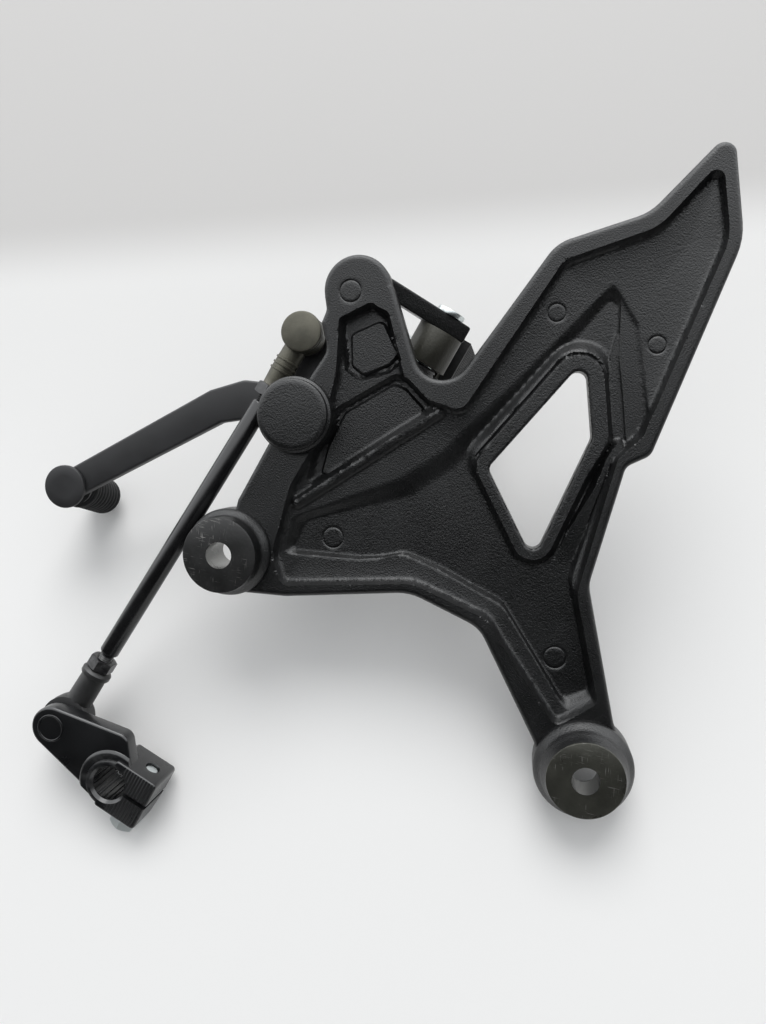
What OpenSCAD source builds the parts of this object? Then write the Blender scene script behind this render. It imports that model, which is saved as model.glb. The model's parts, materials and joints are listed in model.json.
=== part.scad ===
// Left footrest hanger of a motorcycle, with its folding footpeg, its shift lever,
// the shift rod with two ball joints, and the clamped shift arm.
// X points forward, Y points outboard, Z points up to the upper mount.
// The origin is the inboard mouth of the lower mount bore.

/* [Mounts] */
// Distance between the two mount bores
bolt_span = 164; // [160:1:168]
// Diameter of both mount bores
bore_d = 10.5; // [10.2:0.1:11]
// Diameter of the lower mount boss
lower_boss_d = 30; // [29:0.5:31]
// Diameter of the upper mount boss
upper_boss_d = 33; // [32:0.5:34]
// Length of the lower mount bore
lower_bore_l = 19.5; // [18.5:0.5:20]
// Length of the upper mount bore
upper_bore_l = 12.4; // [12:0.2:14]
// Diameter of the seat for a bolt head
head_seat_d = 20; // [19:0.5:21]
// Depth of the chamfer at the seat end of a mount bore
bore_chamfer = 0.6; // [0.4:0.1:0.9]
// Widening of a boss where it meets the plate
boss_flare = 2.8; // [2:0.2:3.4]

/* [Hanger plate] */
// Inboard face of the rim, from the mount faces
rim_y = 12; // [11.5:0.5:12.5]
// Depth of the wide recess below the rim
field_depth = 3.6; // [3:0.2:4]
// Depth of the deep pockets below the rim
well_depth = 6.8; // [6:0.2:7.2]
// Thickness of the plate at the rim
plate_t = 11; // [10.5:0.5:12]
// Rounding of the inboard edge
front_round = 1.4; // [1:0.2:1.8]
// Rounding of the outboard edge
back_round = 2.2; // [1.6:0.2:2.6]
// Width of the raised border round the window
border_w = 6; // [5.4:0.2:6.6]
// Drop of the window border below the rim
border_drop = 1.6; // [1:0.2:2.4]
// Width of the thin ribs at the crest
rib_w = 1.8; // [1.4:0.2:2.4]
// Drop of the thin ribs below the rim
rib_drop = 1.9; // [1.4:0.1:2.6]
// Diameter of the round casting marks
mark_d = 8.6; // [7.6:0.2:9.6]

/* [Pivot of the lever] */
// Diameter of the round pad over the pivot
pad_d = 28; // [27:0.5:29]
// Inboard face of the round pad, from the mount faces
pad_y = 5; // [4.5:0.5:6]
// Diameter of the pivot boss behind the pad
pivot_boss_d = 24; // [23.5:0.5:24.5]
// Height of the pivot boss over the outboard face
pivot_boss_h = 3; // [2.6:0.2:3.4]
// Diameter of the pivot bolt thread
pivot_thread_d = 10; // [9:0.5:11]
// Diameter of the pivot bolt shoulder
shoulder_d = 12; // [11.5:0.5:12.5]

/* [Shift lever] */
// Thickness of the flat lever
lever_t = 6; // [5.6:0.2:6.4]
// Gap from the pivot boss to the flat lever
lever_offset = 6; // [5.5:0.5:7]
// Distance from the pivot to the ball stud of the lever
ball_reach = 33.2; // [32.6:0.2:34]
// Length of the lever hub
hub_l = 15; // [14:0.5:16]
// Diameter of the lever hub
hub_d = 25; // [24:0.5:25]
// Width of the lever beside the hub
lever_w = 17; // [16:0.5:18]
// Width of the lever at the toe
lever_toe_w = 12.8; // [12:0.4:13.6]
// Diameter of the disc at the toe
toe_disc_d = 19.2; // [18:0.4:20]
// Length of the rubber on the toe stub
toe_rubber_l = 34; // [32:0.5:36]
// Diameter of the rubber on the toe stub
toe_rubber_d = 18; // [17:0.5:18.5]
// Outward splay of the toe stub in degrees
toe_splay = 13.5; // [11:0.5:15]

/* [Shift rod] */
// Diameter of the rod
rod_d = 8; // [7.6:0.2:8.2]
// Diameter of the threads of rod and studs
rod_thread_d = 6; // [5.6:0.2:6.2]
// Diameter of the joint balls
ball_d = 10; // [9.6:0.2:10.4]
// Diameter of the upper joint housing
cup_d = 16.6; // [16:0.2:16.8]
// Diameter of the lower joint housing
low_cup_d = 20; // [19:0.5:21]
// Diameter of the shanks of the joint housings
shank_d = 9.4; // [9:0.2:9.8]
// Reach of a shank from the ball centre
shank_l = 25; // [24:0.5:26]
// Width across the flats of the small nuts
nut_af = 10; // [9.6:0.2:10.4]
// Thickness of the lock nuts
nut_t = 5; // [4.6:0.2:5.4]

/* [Shift arm] */
// Thickness of the flat arm
arm_t = 7; // [6.6:0.2:7.4]
// Inboard rise of the flat arm over the mount faces
arm_rise = 5; // [4.5:0.5:5.5]
// Diameter of the round end of the arm
arm_end_d = 17.4; // [16.8:0.2:18]
// Diameter of the clamp round the shaft
clamp_d = 20; // [19.5:0.5:21]
// Length of the clamp along the shaft
clamp_l = 19; // [18:0.5:20]
// Diameter of the splined bore
spline_d = 13; // [12.6:0.2:13.2]
// Depth of the splines
spline_h = 0.5; // [0.4:0.1:0.6]
// Width of the clamp slit
slit_w = 1.8; // [1.4:0.2:2.2]
// Width of the clamp block
block_w = 22; // [21:0.5:23]
// Reach of the clamp block from the shaft
block_reach = 18; // [17.5:0.5:19]

/* [Footpeg] */
// Length of the footpeg from its pin
peg_l = 88; // [84:1:92]
// Width of the footpeg bar
peg_w = 25; // [24:0.5:26]
// Height of the footpeg bar
peg_h = 12; // [11:0.5:13]
// Thickness of the rubber tread
tread_t = 5; // [4.5:0.5:5.5]
// Distance of the footpeg pin from the outboard face
pin_out = 15; // [14.5:0.5:16]
// Diameter of the footpeg pin
pin_d = 8; // [7.5:0.5:8.5]
// Width of the footpeg knuckle along the pin
knuckle_w = 15; // [14.5:0.5:15.5]
// Diameter of the footpeg knuckle
knuckle_d = 20; // [19:0.5:20]
// Thickness of each clevis lug
lug_t = 7; // [6.5:0.5:7.5]
// Room for the return spring beside the knuckle
spring_room = 6.4; // [6.2:0.2:7]
// Wire diameter of the return spring
wire_d = 1.8; // [1.6:0.1:1.9]

/* [Fits] */
// Running clearance of pins, bolts and balls
fit = 0.06; // [0.04:0.01:0.08]
// Gap between parts that pass each other
gap = 0.4; // [0.35:0.05:0.5]
// Seating gap between parts that are clamped
seat = 0.02; // [0.01:0.01:0.04]

/* [Hidden] */
$fn = 72;
// Overrun of every cut past the face it opens
over = 1;
// Points on each rounded corner of an outline
corner_n = 3;
// Smallest corner radius after an outline shrinks
least_r = 0.3;

// Levels of the plate along Y
back_y = rim_y + plate_t;
field_y = rim_y + field_depth;
well_y = rim_y + well_depth;
boss_out_y = back_y + pivot_boss_h;
lever_y = boss_out_y + lever_offset;

// Pivot of the lever and centres of the two balls
pivot_shares = [-0.379, -0.015];
ball_arm_shares = [-0.87, -0.493];
lower_ball_shares = [0.6, -0.16];
shaft_shares = [0.634, 0.04];
toe_shares = [0.122, -0.517];
bend_shares = [-0.346, -0.196];
pivot = pivot_shares * bolt_span;
upper_ball = pivot + ball_reach * ball_arm_shares;
lower_ball = lower_ball_shares * bolt_span;
shaft = shaft_shares * bolt_span;
toe = toe_shares * bolt_span;
bend = bend_shares * bolt_span;

// Corners of the plate: X, Z and corner radius as shares of the bolt span
plate_shares = [
    [-0.021, -0.021, 0.004], [0.088, 0.05, 0.012], [0.025, 0.178, 0.14],
    [-0.145, 0.437, 0.12], [-0.159, 0.623, 0.083], [0.01, 0.873, 0.05],
    [0.085, 0.945, 0.012], [0.03, 1.03, 0.012], [-0.066, 1.075, 0.012],
    [-0.131, 1.003, 0.028], [-0.381, 0.787, 0.07], [-0.658, 0.716, 0.028],
    [-0.707, 0.75, 0.034], [-1.205, 0.673, 0.15], [-1.398, 0.53, 0.024],
    [-1.164, 0.468, 0.11], [-1.014, 0.323, 0.09], [-0.54, 0.269, 0.068],
    [-0.766, 0.029, 0.02], [-0.709, -0.03, 0.012], [-0.666, -0.1, 0.012],
    [-0.633, -0.074, 0.019], [-0.6, -0.07, 0.014], [-0.551, -0.025, 0.04],
    [-0.44, -0.035, 0.012], [-0.378, -0.02, 0.012], [-0.291, -0.044, 0.02],
    [-0.123, -0.045, 0.02]
];
// Centre and radius of the round head of the plate
head_shares = [-0.709, -0.03, 0.081];

// Corners of the wide recess inside the rim
recess_shares = [
    [-0.628, -0.034, 0.02], [-0.697, 0.017, 0.03], [-0.699, 0.063, 0.02],
    [-0.558, 0.197, 0.052], [-0.584, 0.328, 0.033], [-0.988, 0.357, 0.056],
    [-1.144, 0.501, 0.11], [-1.328, 0.544, 0.019], [-1.191, 0.646, 0.13],
    [-0.732, 0.704, 0.023], [-0.665, 0.679, 0.041], [-0.354, 0.76, 0.093],
    [-0.11, 0.958, 0.019], [-0.05, 0.894, 0.024], [-0.158, 0.681, 0.071],
    [-0.188, 0.628, 0.047], [-0.169, 0.432, 0.096], [0.006, 0.156, 0.025],
    [-0.048, 0.097, 0.049], [-0.224, 0.054, 0.073], [-0.375, 0.06, 0.048],
    [-0.516, 0.02, 0.07]
];

// Corners of the deep well: at its lip and at its floor
well_lip_shares = [
    [-0.985, 0.492, 0.012], [-0.691, 0.392, 0.04], [-0.478, 0.327, 0.03],
    [-0.371, 0.27, 0.03], [-0.165, 0.105, 0.02], [-0.095, 0.125, 0.02],
    [-0.148, 0.288, 0.14], [-0.215, 0.37, 0.07], [-0.243, 0.632, 0.072],
    [-0.072, 0.908, 0.014], [-0.128, 0.94, 0.014], [-0.374, 0.74, 0.08],
    [-0.66, 0.665, 0.03], [-0.735, 0.69, 0.02], [-0.94, 0.585, 0.03]
];
well_floor_shares = [
    [-0.955, 0.502, 0.01], [-0.69, 0.442, 0.03], [-0.468, 0.385, 0.03],
    [-0.345, 0.325, 0.03], [-0.185, 0.15, 0.02], [-0.125, 0.15, 0.015],
    [-0.172, 0.288, 0.13], [-0.24, 0.38, 0.06], [-0.27, 0.625, 0.06],
    [-0.125, 0.86, 0.012], [-0.165, 0.88, 0.012], [-0.38, 0.712, 0.07],
    [-0.665, 0.642, 0.03], [-0.74, 0.662, 0.02], [-0.925, 0.57, 0.02]
];

// Corners of the window
window_shares = [
    [-0.826, 0.512, 0.021], [-0.677, 0.617, 0.034], [-0.364, 0.648, 0.021],
    [-0.498, 0.447, 0.02]
];

// Corners of the pockets beside the diagonal rib
wedge_shares = [
    [-0.425, 0.07, 0.02], [-0.5, 0.075, 0.02], [-0.57, 0.16, 0.02],
    [-0.553, 0.245, 0.02], [-0.235, 0.08, 0.012], [-0.26, 0.062, 0.02]
];
wedge_pad_shares = [
    [-0.43, 0.085, 0.014], [-0.487, 0.092, 0.014], [-0.55, 0.16, 0.018],
    [-0.536, 0.226, 0.014], [-0.3, 0.112, 0.01], [-0.33, 0.088, 0.014]
];
head_pocket_shares = [
    [-0.622, -0.018, 0.014], [-0.688, 0.028, 0.016], [-0.684, 0.07, 0.014],
    [-0.595, 0.15, 0.012], [-0.522, 0.066, 0.012], [-0.548, 0.03, 0.02]
];
head_pad_shares = [
    [-0.622, 0.006, 0.01], [-0.665, 0.042, 0.01], [-0.662, 0.066, 0.01],
    [-0.594, 0.128, 0.012], [-0.546, 0.07, 0.012], [-0.562, 0.036, 0.012]
];

// Paths of the raised ribs
diagonal_rib_shares = [[-0.19, 0.085], [-0.331, 0.159], [-0.46, 0.227], [-0.555, 0.28]];
right_rib_shares = [[-0.93, 0.545], [-0.796, 0.648], [-0.7, 0.69], [-0.578, 0.684]];
leg_rib_shares = [[-0.578, 0.684], [-0.491, 0.699], [-0.402, 0.713], [-0.3, 0.722]];
border_ridge_shares = [[-0.5, 0.4], [-0.62, 0.436], [-0.765, 0.474], [-0.85, 0.5]];

// Centres of the round casting marks
head_mark_shares = [-0.697, -0.042];
wing_mark_shares = [-0.884, 0.402];
wing_back_mark_shares = [-0.928, 0.634];
web_mark_shares = [-0.157, 0.204];
leg_mark_shares = [-0.185, 0.816];
mark_line = mark_d / 20;
mark_depth = mark_d / 24;

// Share of its end radius at which the straight side of a link starts
tuck_share = 0.985;

// Slopes of the moulded walls
lip = front_round / 4;
draft = front_round * 1.2;
fillet = front_round * 1.4;
rib_foot = rib_w * 2.2;
rib_sink = rib_w / 2;

// Footpeg axis
peg_pin_shares = [-0.665, 0.17];
front_root_shares = [0.02, 0.15];
rear_root_shares = [-0.065, 0.02];
peg_at = peg_pin_shares * bolt_span;
pin_y = back_y + pin_out;
lug_r = knuckle_d / 2;
clevis_in = knuckle_w + spring_room + gap;
knuckle_x = peg_at[0] - spring_room / 2;
clevis_front = knuckle_x + knuckle_w / 2 + spring_room + gap / 2;
clevis_rear = clevis_front - clevis_in;
lug_front = clevis_front + lug_t;
lug_rear = clevis_rear - lug_t;
pin_end = pin_d / 2;
clip_t = pin_d / 8;
clip_r = pin_d * 0.8;
groove_r = pin_d * 0.38;
spring_r = pin_d / 2 + fit + wire_d * 0.8;

// Shift lever stack along Y
seal_t = shoulder_d / 10;
hub_in_y = boss_out_y + seal_t + 2 * seat;
hub_out_y = hub_in_y + hub_l;
seal_r = hub_d * 0.42;
bush_t = shoulder_d / 8;
bush_r = shoulder_d / 2 + fit + bush_t;
flange_t = shoulder_d / 6;
shoulder_end_y = hub_out_y + seal_t + 2 * seat;
bolt_head_t = shoulder_d * 0.5;
thread_top_y = boss_out_y - pivot_thread_d * 1.5;

// Ball joint heights along Y
stud_l = ball_d * 0.7;
cup_h = ball_d * 1.15;
cup_mouth = shank_d / 2 + seat;
upper_ball_y = lever_y - stud_l;
arm_in_y = -arm_rise;
arm_out_y = arm_in_y + arm_t;
lower_ball_y = arm_out_y + stud_l;

// Direction of the rod
run = lower_ball - upper_ball;
run_y = lower_ball_y - upper_ball_y;
rod_span = norm([run[0], run_y, run[1]]);
rod_lean = asin(run_y / rod_span);
rod_dip = atan2(-run[1], run[0]);
thread_in = shank_l * 0.35;

// Boots, which lean with the rod and stop short of lever and arm
boot_in = ball_d * 0.52;
boot_wall = ball_d * 0.1;
boot_rise = (boot_in + boot_wall) * sin(abs(rod_lean));
boot_h = stud_l - cup_mouth - boot_rise - gap;

// Unit vector along v
function unit(v) = v / norm(v);
// Outward normal of an edge that runs round an outline anticlockwise
function outward(v) = [v[1], -v[0]];
// Turn from direction a to direction b
function turn(a, b) = a[0] * b[1] - a[1] * b[0];
// Twice the signed area of an outline
function swept(c) = sum([for (i = [0:len(c) - 1]) turn(c[i], c[(i + 1) % len(c)])]);
function sum(v, i = 0) = i < len(v) ? v[i] + sum(v, i + 1) : 0;
// Same outline, always anticlockwise
function ordered(c) = swept(c) > 0 ? c : [for (i = [len(c) - 1:-1:0]) c[i]];
// Directions before and after corner i
function edge_in(c, i) = unit(spot(c[i]) - spot(c[(i + len(c) - 1) % len(c)]));
function edge_out(c, i) = unit(spot(c[(i + 1) % len(c)]) - spot(c[i]));
function spot(p) = [p[0], p[1]];
// Shift of a corner when both of its edges move out by one
function mitre(n0, n1) = (n0 + n1) / (1 + n0 * n1);
// Corners moved out by d, with radii that stay concentric
function grown(c, d) = [
    for (i = [0:len(c) - 1])
        let (e0 = edge_in(c, i), e1 = edge_out(c, i))
        let (m = mitre(outward(e0), outward(e1)), s = sign(turn(e0, e1)))
        [c[i][0] + d * m[0], c[i][1] + d * m[1], max(least_r, c[i][2] + s * d)]
];
// Points of the outline with its rounded corners
function rounded(c) = [
    for (i = [0:len(c) - 1])
        let (e0 = edge_in(c, i), e1 = edge_out(c, i), s = sign(turn(e0, e1)))
        let (n0 = outward(e0), n1 = outward(e1), r = c[i][2])
        let (mid = spot(c[i]) - s * r * mitre(n0, n1))
        let (a0 = atan2(n0[1], n0[0]), da = atan2(turn(n0, n1), n0 * n1))
        for (k = [0:corner_n])
            let (a = a0 + da * k / corner_n)
            mid + s * r * [cos(a), sin(a)]
];
// Corners in lengths from corners in shares
function corners(shares) = ordered(bolt_span * shares);
// Points where the outer tangents touch two circles
function tangents(p, rp, q, rq) =
    let (u = unit(q - p), c = (rp - rq) / norm(q - p), s = sqrt(1 - c * c))
    let (m = [-u[1], u[0]])
    [p + rp * (c * u + s * m), q + rq * (c * u + s * m),
     q + rq * (c * u - s * m), p + rp * (c * u - s * m)];

// Solid through rings of equal point count, each given as [y, points]
module loft(rings) {
    n = len(rings[0][1]);
    points = [for (ring = rings) for (p = ring[1]) [p[0], ring[0], p[1]]];
    sides = [
        for (j = [0:len(rings) - 2]) for (i = [0:n - 1])
            let (a = j * n + i, b = j * n + (i + 1) % n)
            for (face = [[a, b, b + n], [a, b + n, a + n]]) face
    ];
    front = [for (i = [n - 1:-1:0]) i];
    back = [for (i = [0:n - 1]) (len(rings) - 1) * n + i];
    polyhedron(points = points, faces = concat([front], sides, [back]), convexity = 8);
}

// Flat plate between two levels
module slab(y0, y1) {
    translate([0, y1, 0]) rotate([90, 0, 0]) linear_extrude(height = y1 - y0) children();
}

// Round bar along Y between two levels
module post(at, y0, y1, r0, r1) {
    translate([at[0], y1, at[1]]) rotate([90, 0, 0]) cylinder(h = y1 - y0, r1 = r1, r2 = r0);
}

// Ring along Y with a square section
module collar(at, y0, y1, r_in, r_out) {
    translate([at[0], y1, at[1]]) rotate([90, 0, 0]) rotate_extrude()
        translate([r_in, 0]) square([r_out - r_in, y1 - y0]);
}

// Straight link with round ends between two circles
module link(p, rp, q, rq, y0, y1) {
    slab(y0, y1) polygon(tangents(p, rp * tuck_share, q, rq * tuck_share));
    post(p, y0, y1, rp, rp);
    post(q, y0, y1, rq, rq);
}

// Hexagon by its width across the flats
module hexagon(af) {
    polygon([for (k = [0:5]) af / sqrt(3) * [cos(60 * k), sin(60 * k)]]);
}

// Pocket cut into the plate, with sloped walls and a rounded foot
module pocket(c, y_top, y_floor) {
    loft([
        [y_top - over, rounded(grown(c, lip))],
        [y_top, rounded(grown(c, lip))],
        [y_top + lip, rounded(c)],
        [y_floor - fillet / 2, rounded(grown(c, -draft / 2))],
        [y_floor - fillet / 6, rounded(grown(c, -draft))],
        [y_floor, rounded(grown(c, -draft - fillet / 2))]
    ]);
}

// Raised pad with sloped walls on a pocket floor
module raised(c, y_top, y_floor, slope) {
    loft([
        [y_top, rounded(grown(c, -slope / 2))],
        [y_top + lip, rounded(c)],
        [y_floor, rounded(grown(c, slope))],
        [y_floor + rib_sink, rounded(grown(c, slope))]
    ]);
}

// Narrow rib with sloped sides along a path
module rib(path, w, foot, y_top, y_floor) {
    n = len(path);
    left = [
        for (i = [0:n - 1])
            let (u = unit(path[min(n - 1, i + 1)] - path[max(0, i - 1)]))
            [u[1], -u[0]]
    ];
    function side(d) = concat(
        [for (i = [0:n - 1]) path[i] + d * left[i]],
        [for (i = [n - 1:-1:0]) path[i] - d * left[i]]
    );
    loft([
        [y_top, side(w * 0.3)],
        [y_top + lip, side(w / 2)],
        [y_floor, side(foot / 2)],
        [y_floor + rib_sink, side(foot / 2)]
    ]);
}

// Thin round line left in the casting by an ejector
module mark(at, y_floor) {
    collar(at * bolt_span, y_floor - over, y_floor + mark_depth,
        mark_d / 2 - mark_line, mark_d / 2);
}

// Lug of the footpeg clevis between two X levels, rooted between two heights
module lug(x0, x1, root) {
    root_y = back_y - back_round;
    hull() {
        translate([x0, pin_y, peg_at[1]]) rotate([0, 90, 0]) cylinder(h = x1 - x0, r = lug_r);
        translate([x0, root_y, root[0]]) cube([x1 - x0, back_round, root[1] - root[0]]);
    }
}

// Plate outline as a solid with rounded edges
module plate_solid() {
    plate = corners(plate_shares);
    loft([
        [rim_y, rounded(grown(plate, -front_round))],
        [rim_y + front_round / 3, rounded(grown(plate, -front_round / 3))],
        [rim_y + front_round, rounded(plate)],
        [back_y - back_round, rounded(plate)],
        [back_y - back_round / 3, rounded(grown(plate, -back_round / 3))],
        [back_y, rounded(grown(plate, -back_round))]
    ]);
}

// Casting with its pockets and ribs, before any round boss or bore
module casting() {
    window = corners(window_shares);
    difference() {
        union() {
            difference() {
                plate_solid();
                pocket(corners(recess_shares), rim_y, field_y);
                pocket(corners(wedge_shares), field_y, well_y);
                pocket(corners(head_pocket_shares), field_y, well_y);
                loft([
                    [rim_y - over, rounded(corners(well_lip_shares))],
                    [field_y, rounded(corners(well_lip_shares))],
                    [well_y, rounded(corners(well_floor_shares))]
                ]);
            }
            raised(corners(wedge_pad_shares), field_y + rib_w, well_y, draft);
            raised(corners(head_pad_shares), field_y + rib_w / 2, well_y, draft);
            raised(grown(window, border_w), rim_y + border_drop, well_y, draft);
            rib(diagonal_rib_shares * bolt_span, rib_w, rib_foot, rim_y + rib_drop, well_y);
            rib(right_rib_shares * bolt_span, rib_w * 2, rib_foot * 2, field_y, well_y);
            rib(leg_rib_shares * bolt_span, rib_w, rib_foot, rim_y + rib_drop, well_y);
            rib(border_ridge_shares * bolt_span, rib_w, rib_foot, rim_y + rib_drop / 2, well_y);
        }
        loft([
            [rim_y - over, rounded(window)],
            [back_y + over, rounded(grown(window, -lip))]
        ]);
    }
}

module hanger() {
    head = head_shares * bolt_span;
    head_at = spot(head);
    lower_r = lower_boss_d / 2;
    upper_r = upper_boss_d / 2;
    upper_at = [0, bolt_span];
    color("dimgray") difference() {
        union() {
            resize([0, plate_t, 0]) casting();
            post(head_at, rim_y + front_round, back_y - back_round, head[2], head[2]);
            post([0, 0], 0, back_y, lower_r, lower_r);
            post([0, 0], rim_y - boss_flare, rim_y + boss_flare, lower_r, lower_r + boss_flare);
            post([0, 0], rim_y + boss_flare, back_y - back_round,
                lower_r + boss_flare, lower_r + boss_flare);
            post(upper_at, 0, back_y, upper_r, upper_r);
            post(upper_at, rim_y - 2 * boss_flare, rim_y, upper_r, upper_r + boss_flare);
            post(upper_at, rim_y, back_y - back_round, upper_r + boss_flare, upper_r + boss_flare);
            post(pivot, pad_y + lip, rim_y + lip, pad_d / 2, pad_d / 2);
            post(pivot, pad_y, pad_y + lip, pad_d / 2 - lip, pad_d / 2);
            post(pivot, rim_y, boss_out_y, pivot_boss_d / 2, pivot_boss_d / 2);
            lug(clevis_front, lug_front, front_root_shares * bolt_span);
            lug(lug_rear, clevis_rear, rear_root_shares * bolt_span);
        }
        post([0, 0], -over, back_y + over, bore_d / 2, bore_d / 2);
        post([0, 0], lower_bore_l, back_y + over, head_seat_d / 2, head_seat_d / 2);
        post([0, 0], lower_bore_l - bore_chamfer, lower_bore_l + over,
            bore_d / 2, bore_d / 2 + bore_chamfer + over);
        post(upper_at, -over, back_y + over, bore_d / 2, bore_d / 2);
        post(upper_at, upper_bore_l, back_y + over, head_seat_d / 2, head_seat_d / 2);
        post(upper_at, upper_bore_l - bore_chamfer, upper_bore_l + over,
            bore_d / 2, bore_d / 2 + bore_chamfer + over);
        post(pivot, thread_top_y, boss_out_y + over, pivot_thread_d / 2, pivot_thread_d / 2);
        translate([lug_rear - over, pin_y, peg_at[1]]) rotate([0, 90, 0])
            cylinder(h = lug_front - lug_rear + 2 * over, r = pin_d / 2 + fit);
        mark(head_mark_shares, rim_y);
        mark(wing_mark_shares, field_y);
        mark(wing_back_mark_shares, field_y);
        mark(web_mark_shares, well_y);
        mark(leg_mark_shares, well_y);
    }
}

module peg_pin() {
    head_t = pin_end / 2;
    start = lug_rear - seat - head_t;
    end = lug_front + clip_t + 2 * seat + pin_end / 2;
    color("silver") difference() {
        translate([start, pin_y, peg_at[1]]) rotate([0, 90, 0]) union() {
            cylinder(h = end - start, r = pin_d / 2);
            cylinder(h = head_t, r = pin_d * 0.75);
        }
        translate([lug_front + seat, pin_y, peg_at[1]]) rotate([0, 90, 0]) rotate_extrude()
            translate([groove_r, 0]) square([pin_d, clip_t + 2 * seat]);
    }
}

module peg_clip() {
    color("silver") translate([lug_front + 2 * seat, pin_y, peg_at[1]]) rotate([0, 90, 0])
        difference() {
            cylinder(h = clip_t, r = clip_r);
            translate([0, 0, -over]) cylinder(h = clip_t + 2 * over, r = groove_r + seat);
            translate([-clip_r - over, -groove_r * 0.7, -over])
                cube([clip_r + over, groove_r * 1.4, clip_t + 2 * over]);
        }
}

module peg_spring() {
    pitch = wire_d + seat;
    start = knuckle_x + knuckle_w / 2 + gap + wire_d / 2;
    leg = lug_r * 0.8;
    color("darkslategray") {
        translate([start, pin_y, peg_at[1]]) rotate([0, 90, 0]) rotate_extrude()
            translate([spring_r, 0]) {
                for (k = [0:2]) translate([0, k * pitch]) circle(d = wire_d, $fn = 36);
                translate([-wire_d / 4, 0]) square([wire_d / 2, 2 * pitch]);
            }
        translate([start + pitch, pin_y + spring_r, peg_at[1]]) cylinder(h = leg, d = wire_d);
        translate([start, pin_y, peg_at[1] - spring_r]) rotate([90, 0, 0])
            cylinder(h = pin_out * 0.8, d = wire_d);
    }
}

module peg_bar() {
    tip = pin_y + peg_l;
    neck = lug_r + gap;
    x0 = knuckle_x - peg_w / 2;
    color("gray") difference() {
        union() {
            translate([knuckle_x - knuckle_w / 2, pin_y, peg_at[1]]) rotate([0, 90, 0])
                cylinder(h = knuckle_w, r = lug_r - gap);
            translate([knuckle_x - knuckle_w / 2, pin_y, peg_at[1] - peg_h / 2])
                cube([knuckle_w, peg_l * 0.3, peg_h]);
            translate([x0, pin_y + neck + gap, peg_at[1] - peg_h / 2])
                cube([peg_w, peg_l - neck - gap - peg_w / 2, peg_h]);
            translate([knuckle_x, tip - peg_w / 2, peg_at[1] - peg_h / 2])
                cylinder(h = peg_h, r = peg_w / 2);
        }
        translate([x0 - over, pin_y, peg_at[1]]) rotate([0, 90, 0])
            cylinder(h = peg_w + 2 * over, r = pin_d / 2 + fit);
        for (side = [-1, 1])
            translate([knuckle_x + side * peg_w * 0.25, pin_y + peg_l * 0.38, peg_at[1] - peg_h])
                slot_column(peg_w * 0.22, peg_l * 0.4, peg_h * 0.8);
        translate([knuckle_x, tip - peg_w / 2, peg_at[1] - peg_h / 2 - over])
            cylinder(h = peg_h * 0.8 + over, d = rod_thread_d);
    }
}

// Upright slot with round ends
module slot_column(w, l, h) {
    translate([-w / 2, 0, 0]) cube([w, l, h]);
    cylinder(h = h, d = w);
    translate([0, l, 0]) cylinder(h = h, d = w);
}

module peg_tread() {
    tip = pin_y + peg_l;
    base = peg_at[1] + peg_h / 2 + seat;
    start = pin_y + lug_r + peg_w * 0.4;
    inset = peg_w * 0.06;
    r = peg_w / 2 - inset;
    run_l = tip - inset - r - start;
    ribs = 9;
    color("black") difference() {
        union() {
            translate([knuckle_x - r, start, base]) cube([2 * r, run_l, tread_t]);
            translate([knuckle_x, start + run_l, base]) cylinder(h = tread_t, r = r);
        }
        for (k = [1:ribs])
            translate([knuckle_x - r - over, start + k * run_l / ribs, base + tread_t * 0.6])
                cube([2 * r + 2 * over, run_l / ribs * 0.3, tread_t]);
    }
}

module peg_feeler() {
    tip = pin_y + peg_l;
    base = peg_at[1] - peg_h / 2 - seat;
    reach = peg_h * 1.6;
    color("silver") translate([knuckle_x, tip - peg_w / 2, 0]) {
        translate([0, 0, base - reach]) cylinder(h = reach, d = rod_thread_d);
        translate([0, 0, base - nut_t]) linear_extrude(height = nut_t) hexagon(nut_af);
        translate([0, 0, base - reach]) sphere(d = rod_thread_d * 1.5);
        translate([0, 0, base]) cylinder(h = peg_h * 0.6, d = rod_thread_d - 2 * fit);
    }
}

module pivot_bolt() {
    flange_y = shoulder_end_y + flange_t;
    color("silver") difference() {
        union() {
            post(pivot, thread_top_y + seat + pivot_thread_d / 5, boss_out_y + seat,
                pivot_thread_d / 2 - fit, pivot_thread_d / 2 - fit);
            post(pivot, boss_out_y + seat, shoulder_end_y, shoulder_d / 2, shoulder_d / 2);
            post(pivot, shoulder_end_y, flange_y, shoulder_d * 0.85, shoulder_d * 0.8);
            slab(flange_y, flange_y + bolt_head_t) translate(pivot) hexagon(shoulder_d * 1.15);
        }
        post(pivot, flange_y + bolt_head_t * 0.7, flange_y + bolt_head_t + over,
            shoulder_d * 0.3, shoulder_d * 0.4);
    }
}

module seal_inner() {
    color("black") collar(pivot, boss_out_y + seat, boss_out_y + seat + seal_t,
        shoulder_d / 2 + gap, seal_r);
}

module seal_outer() {
    color("black") collar(pivot, hub_out_y + seat, hub_out_y + seat + seal_t,
        shoulder_d / 2 + gap, shoulder_d * 0.85);
}

module pivot_bush() {
    color("goldenrod") collar(pivot, hub_in_y, hub_out_y, shoulder_d / 2 + fit, bush_r);
}

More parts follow.
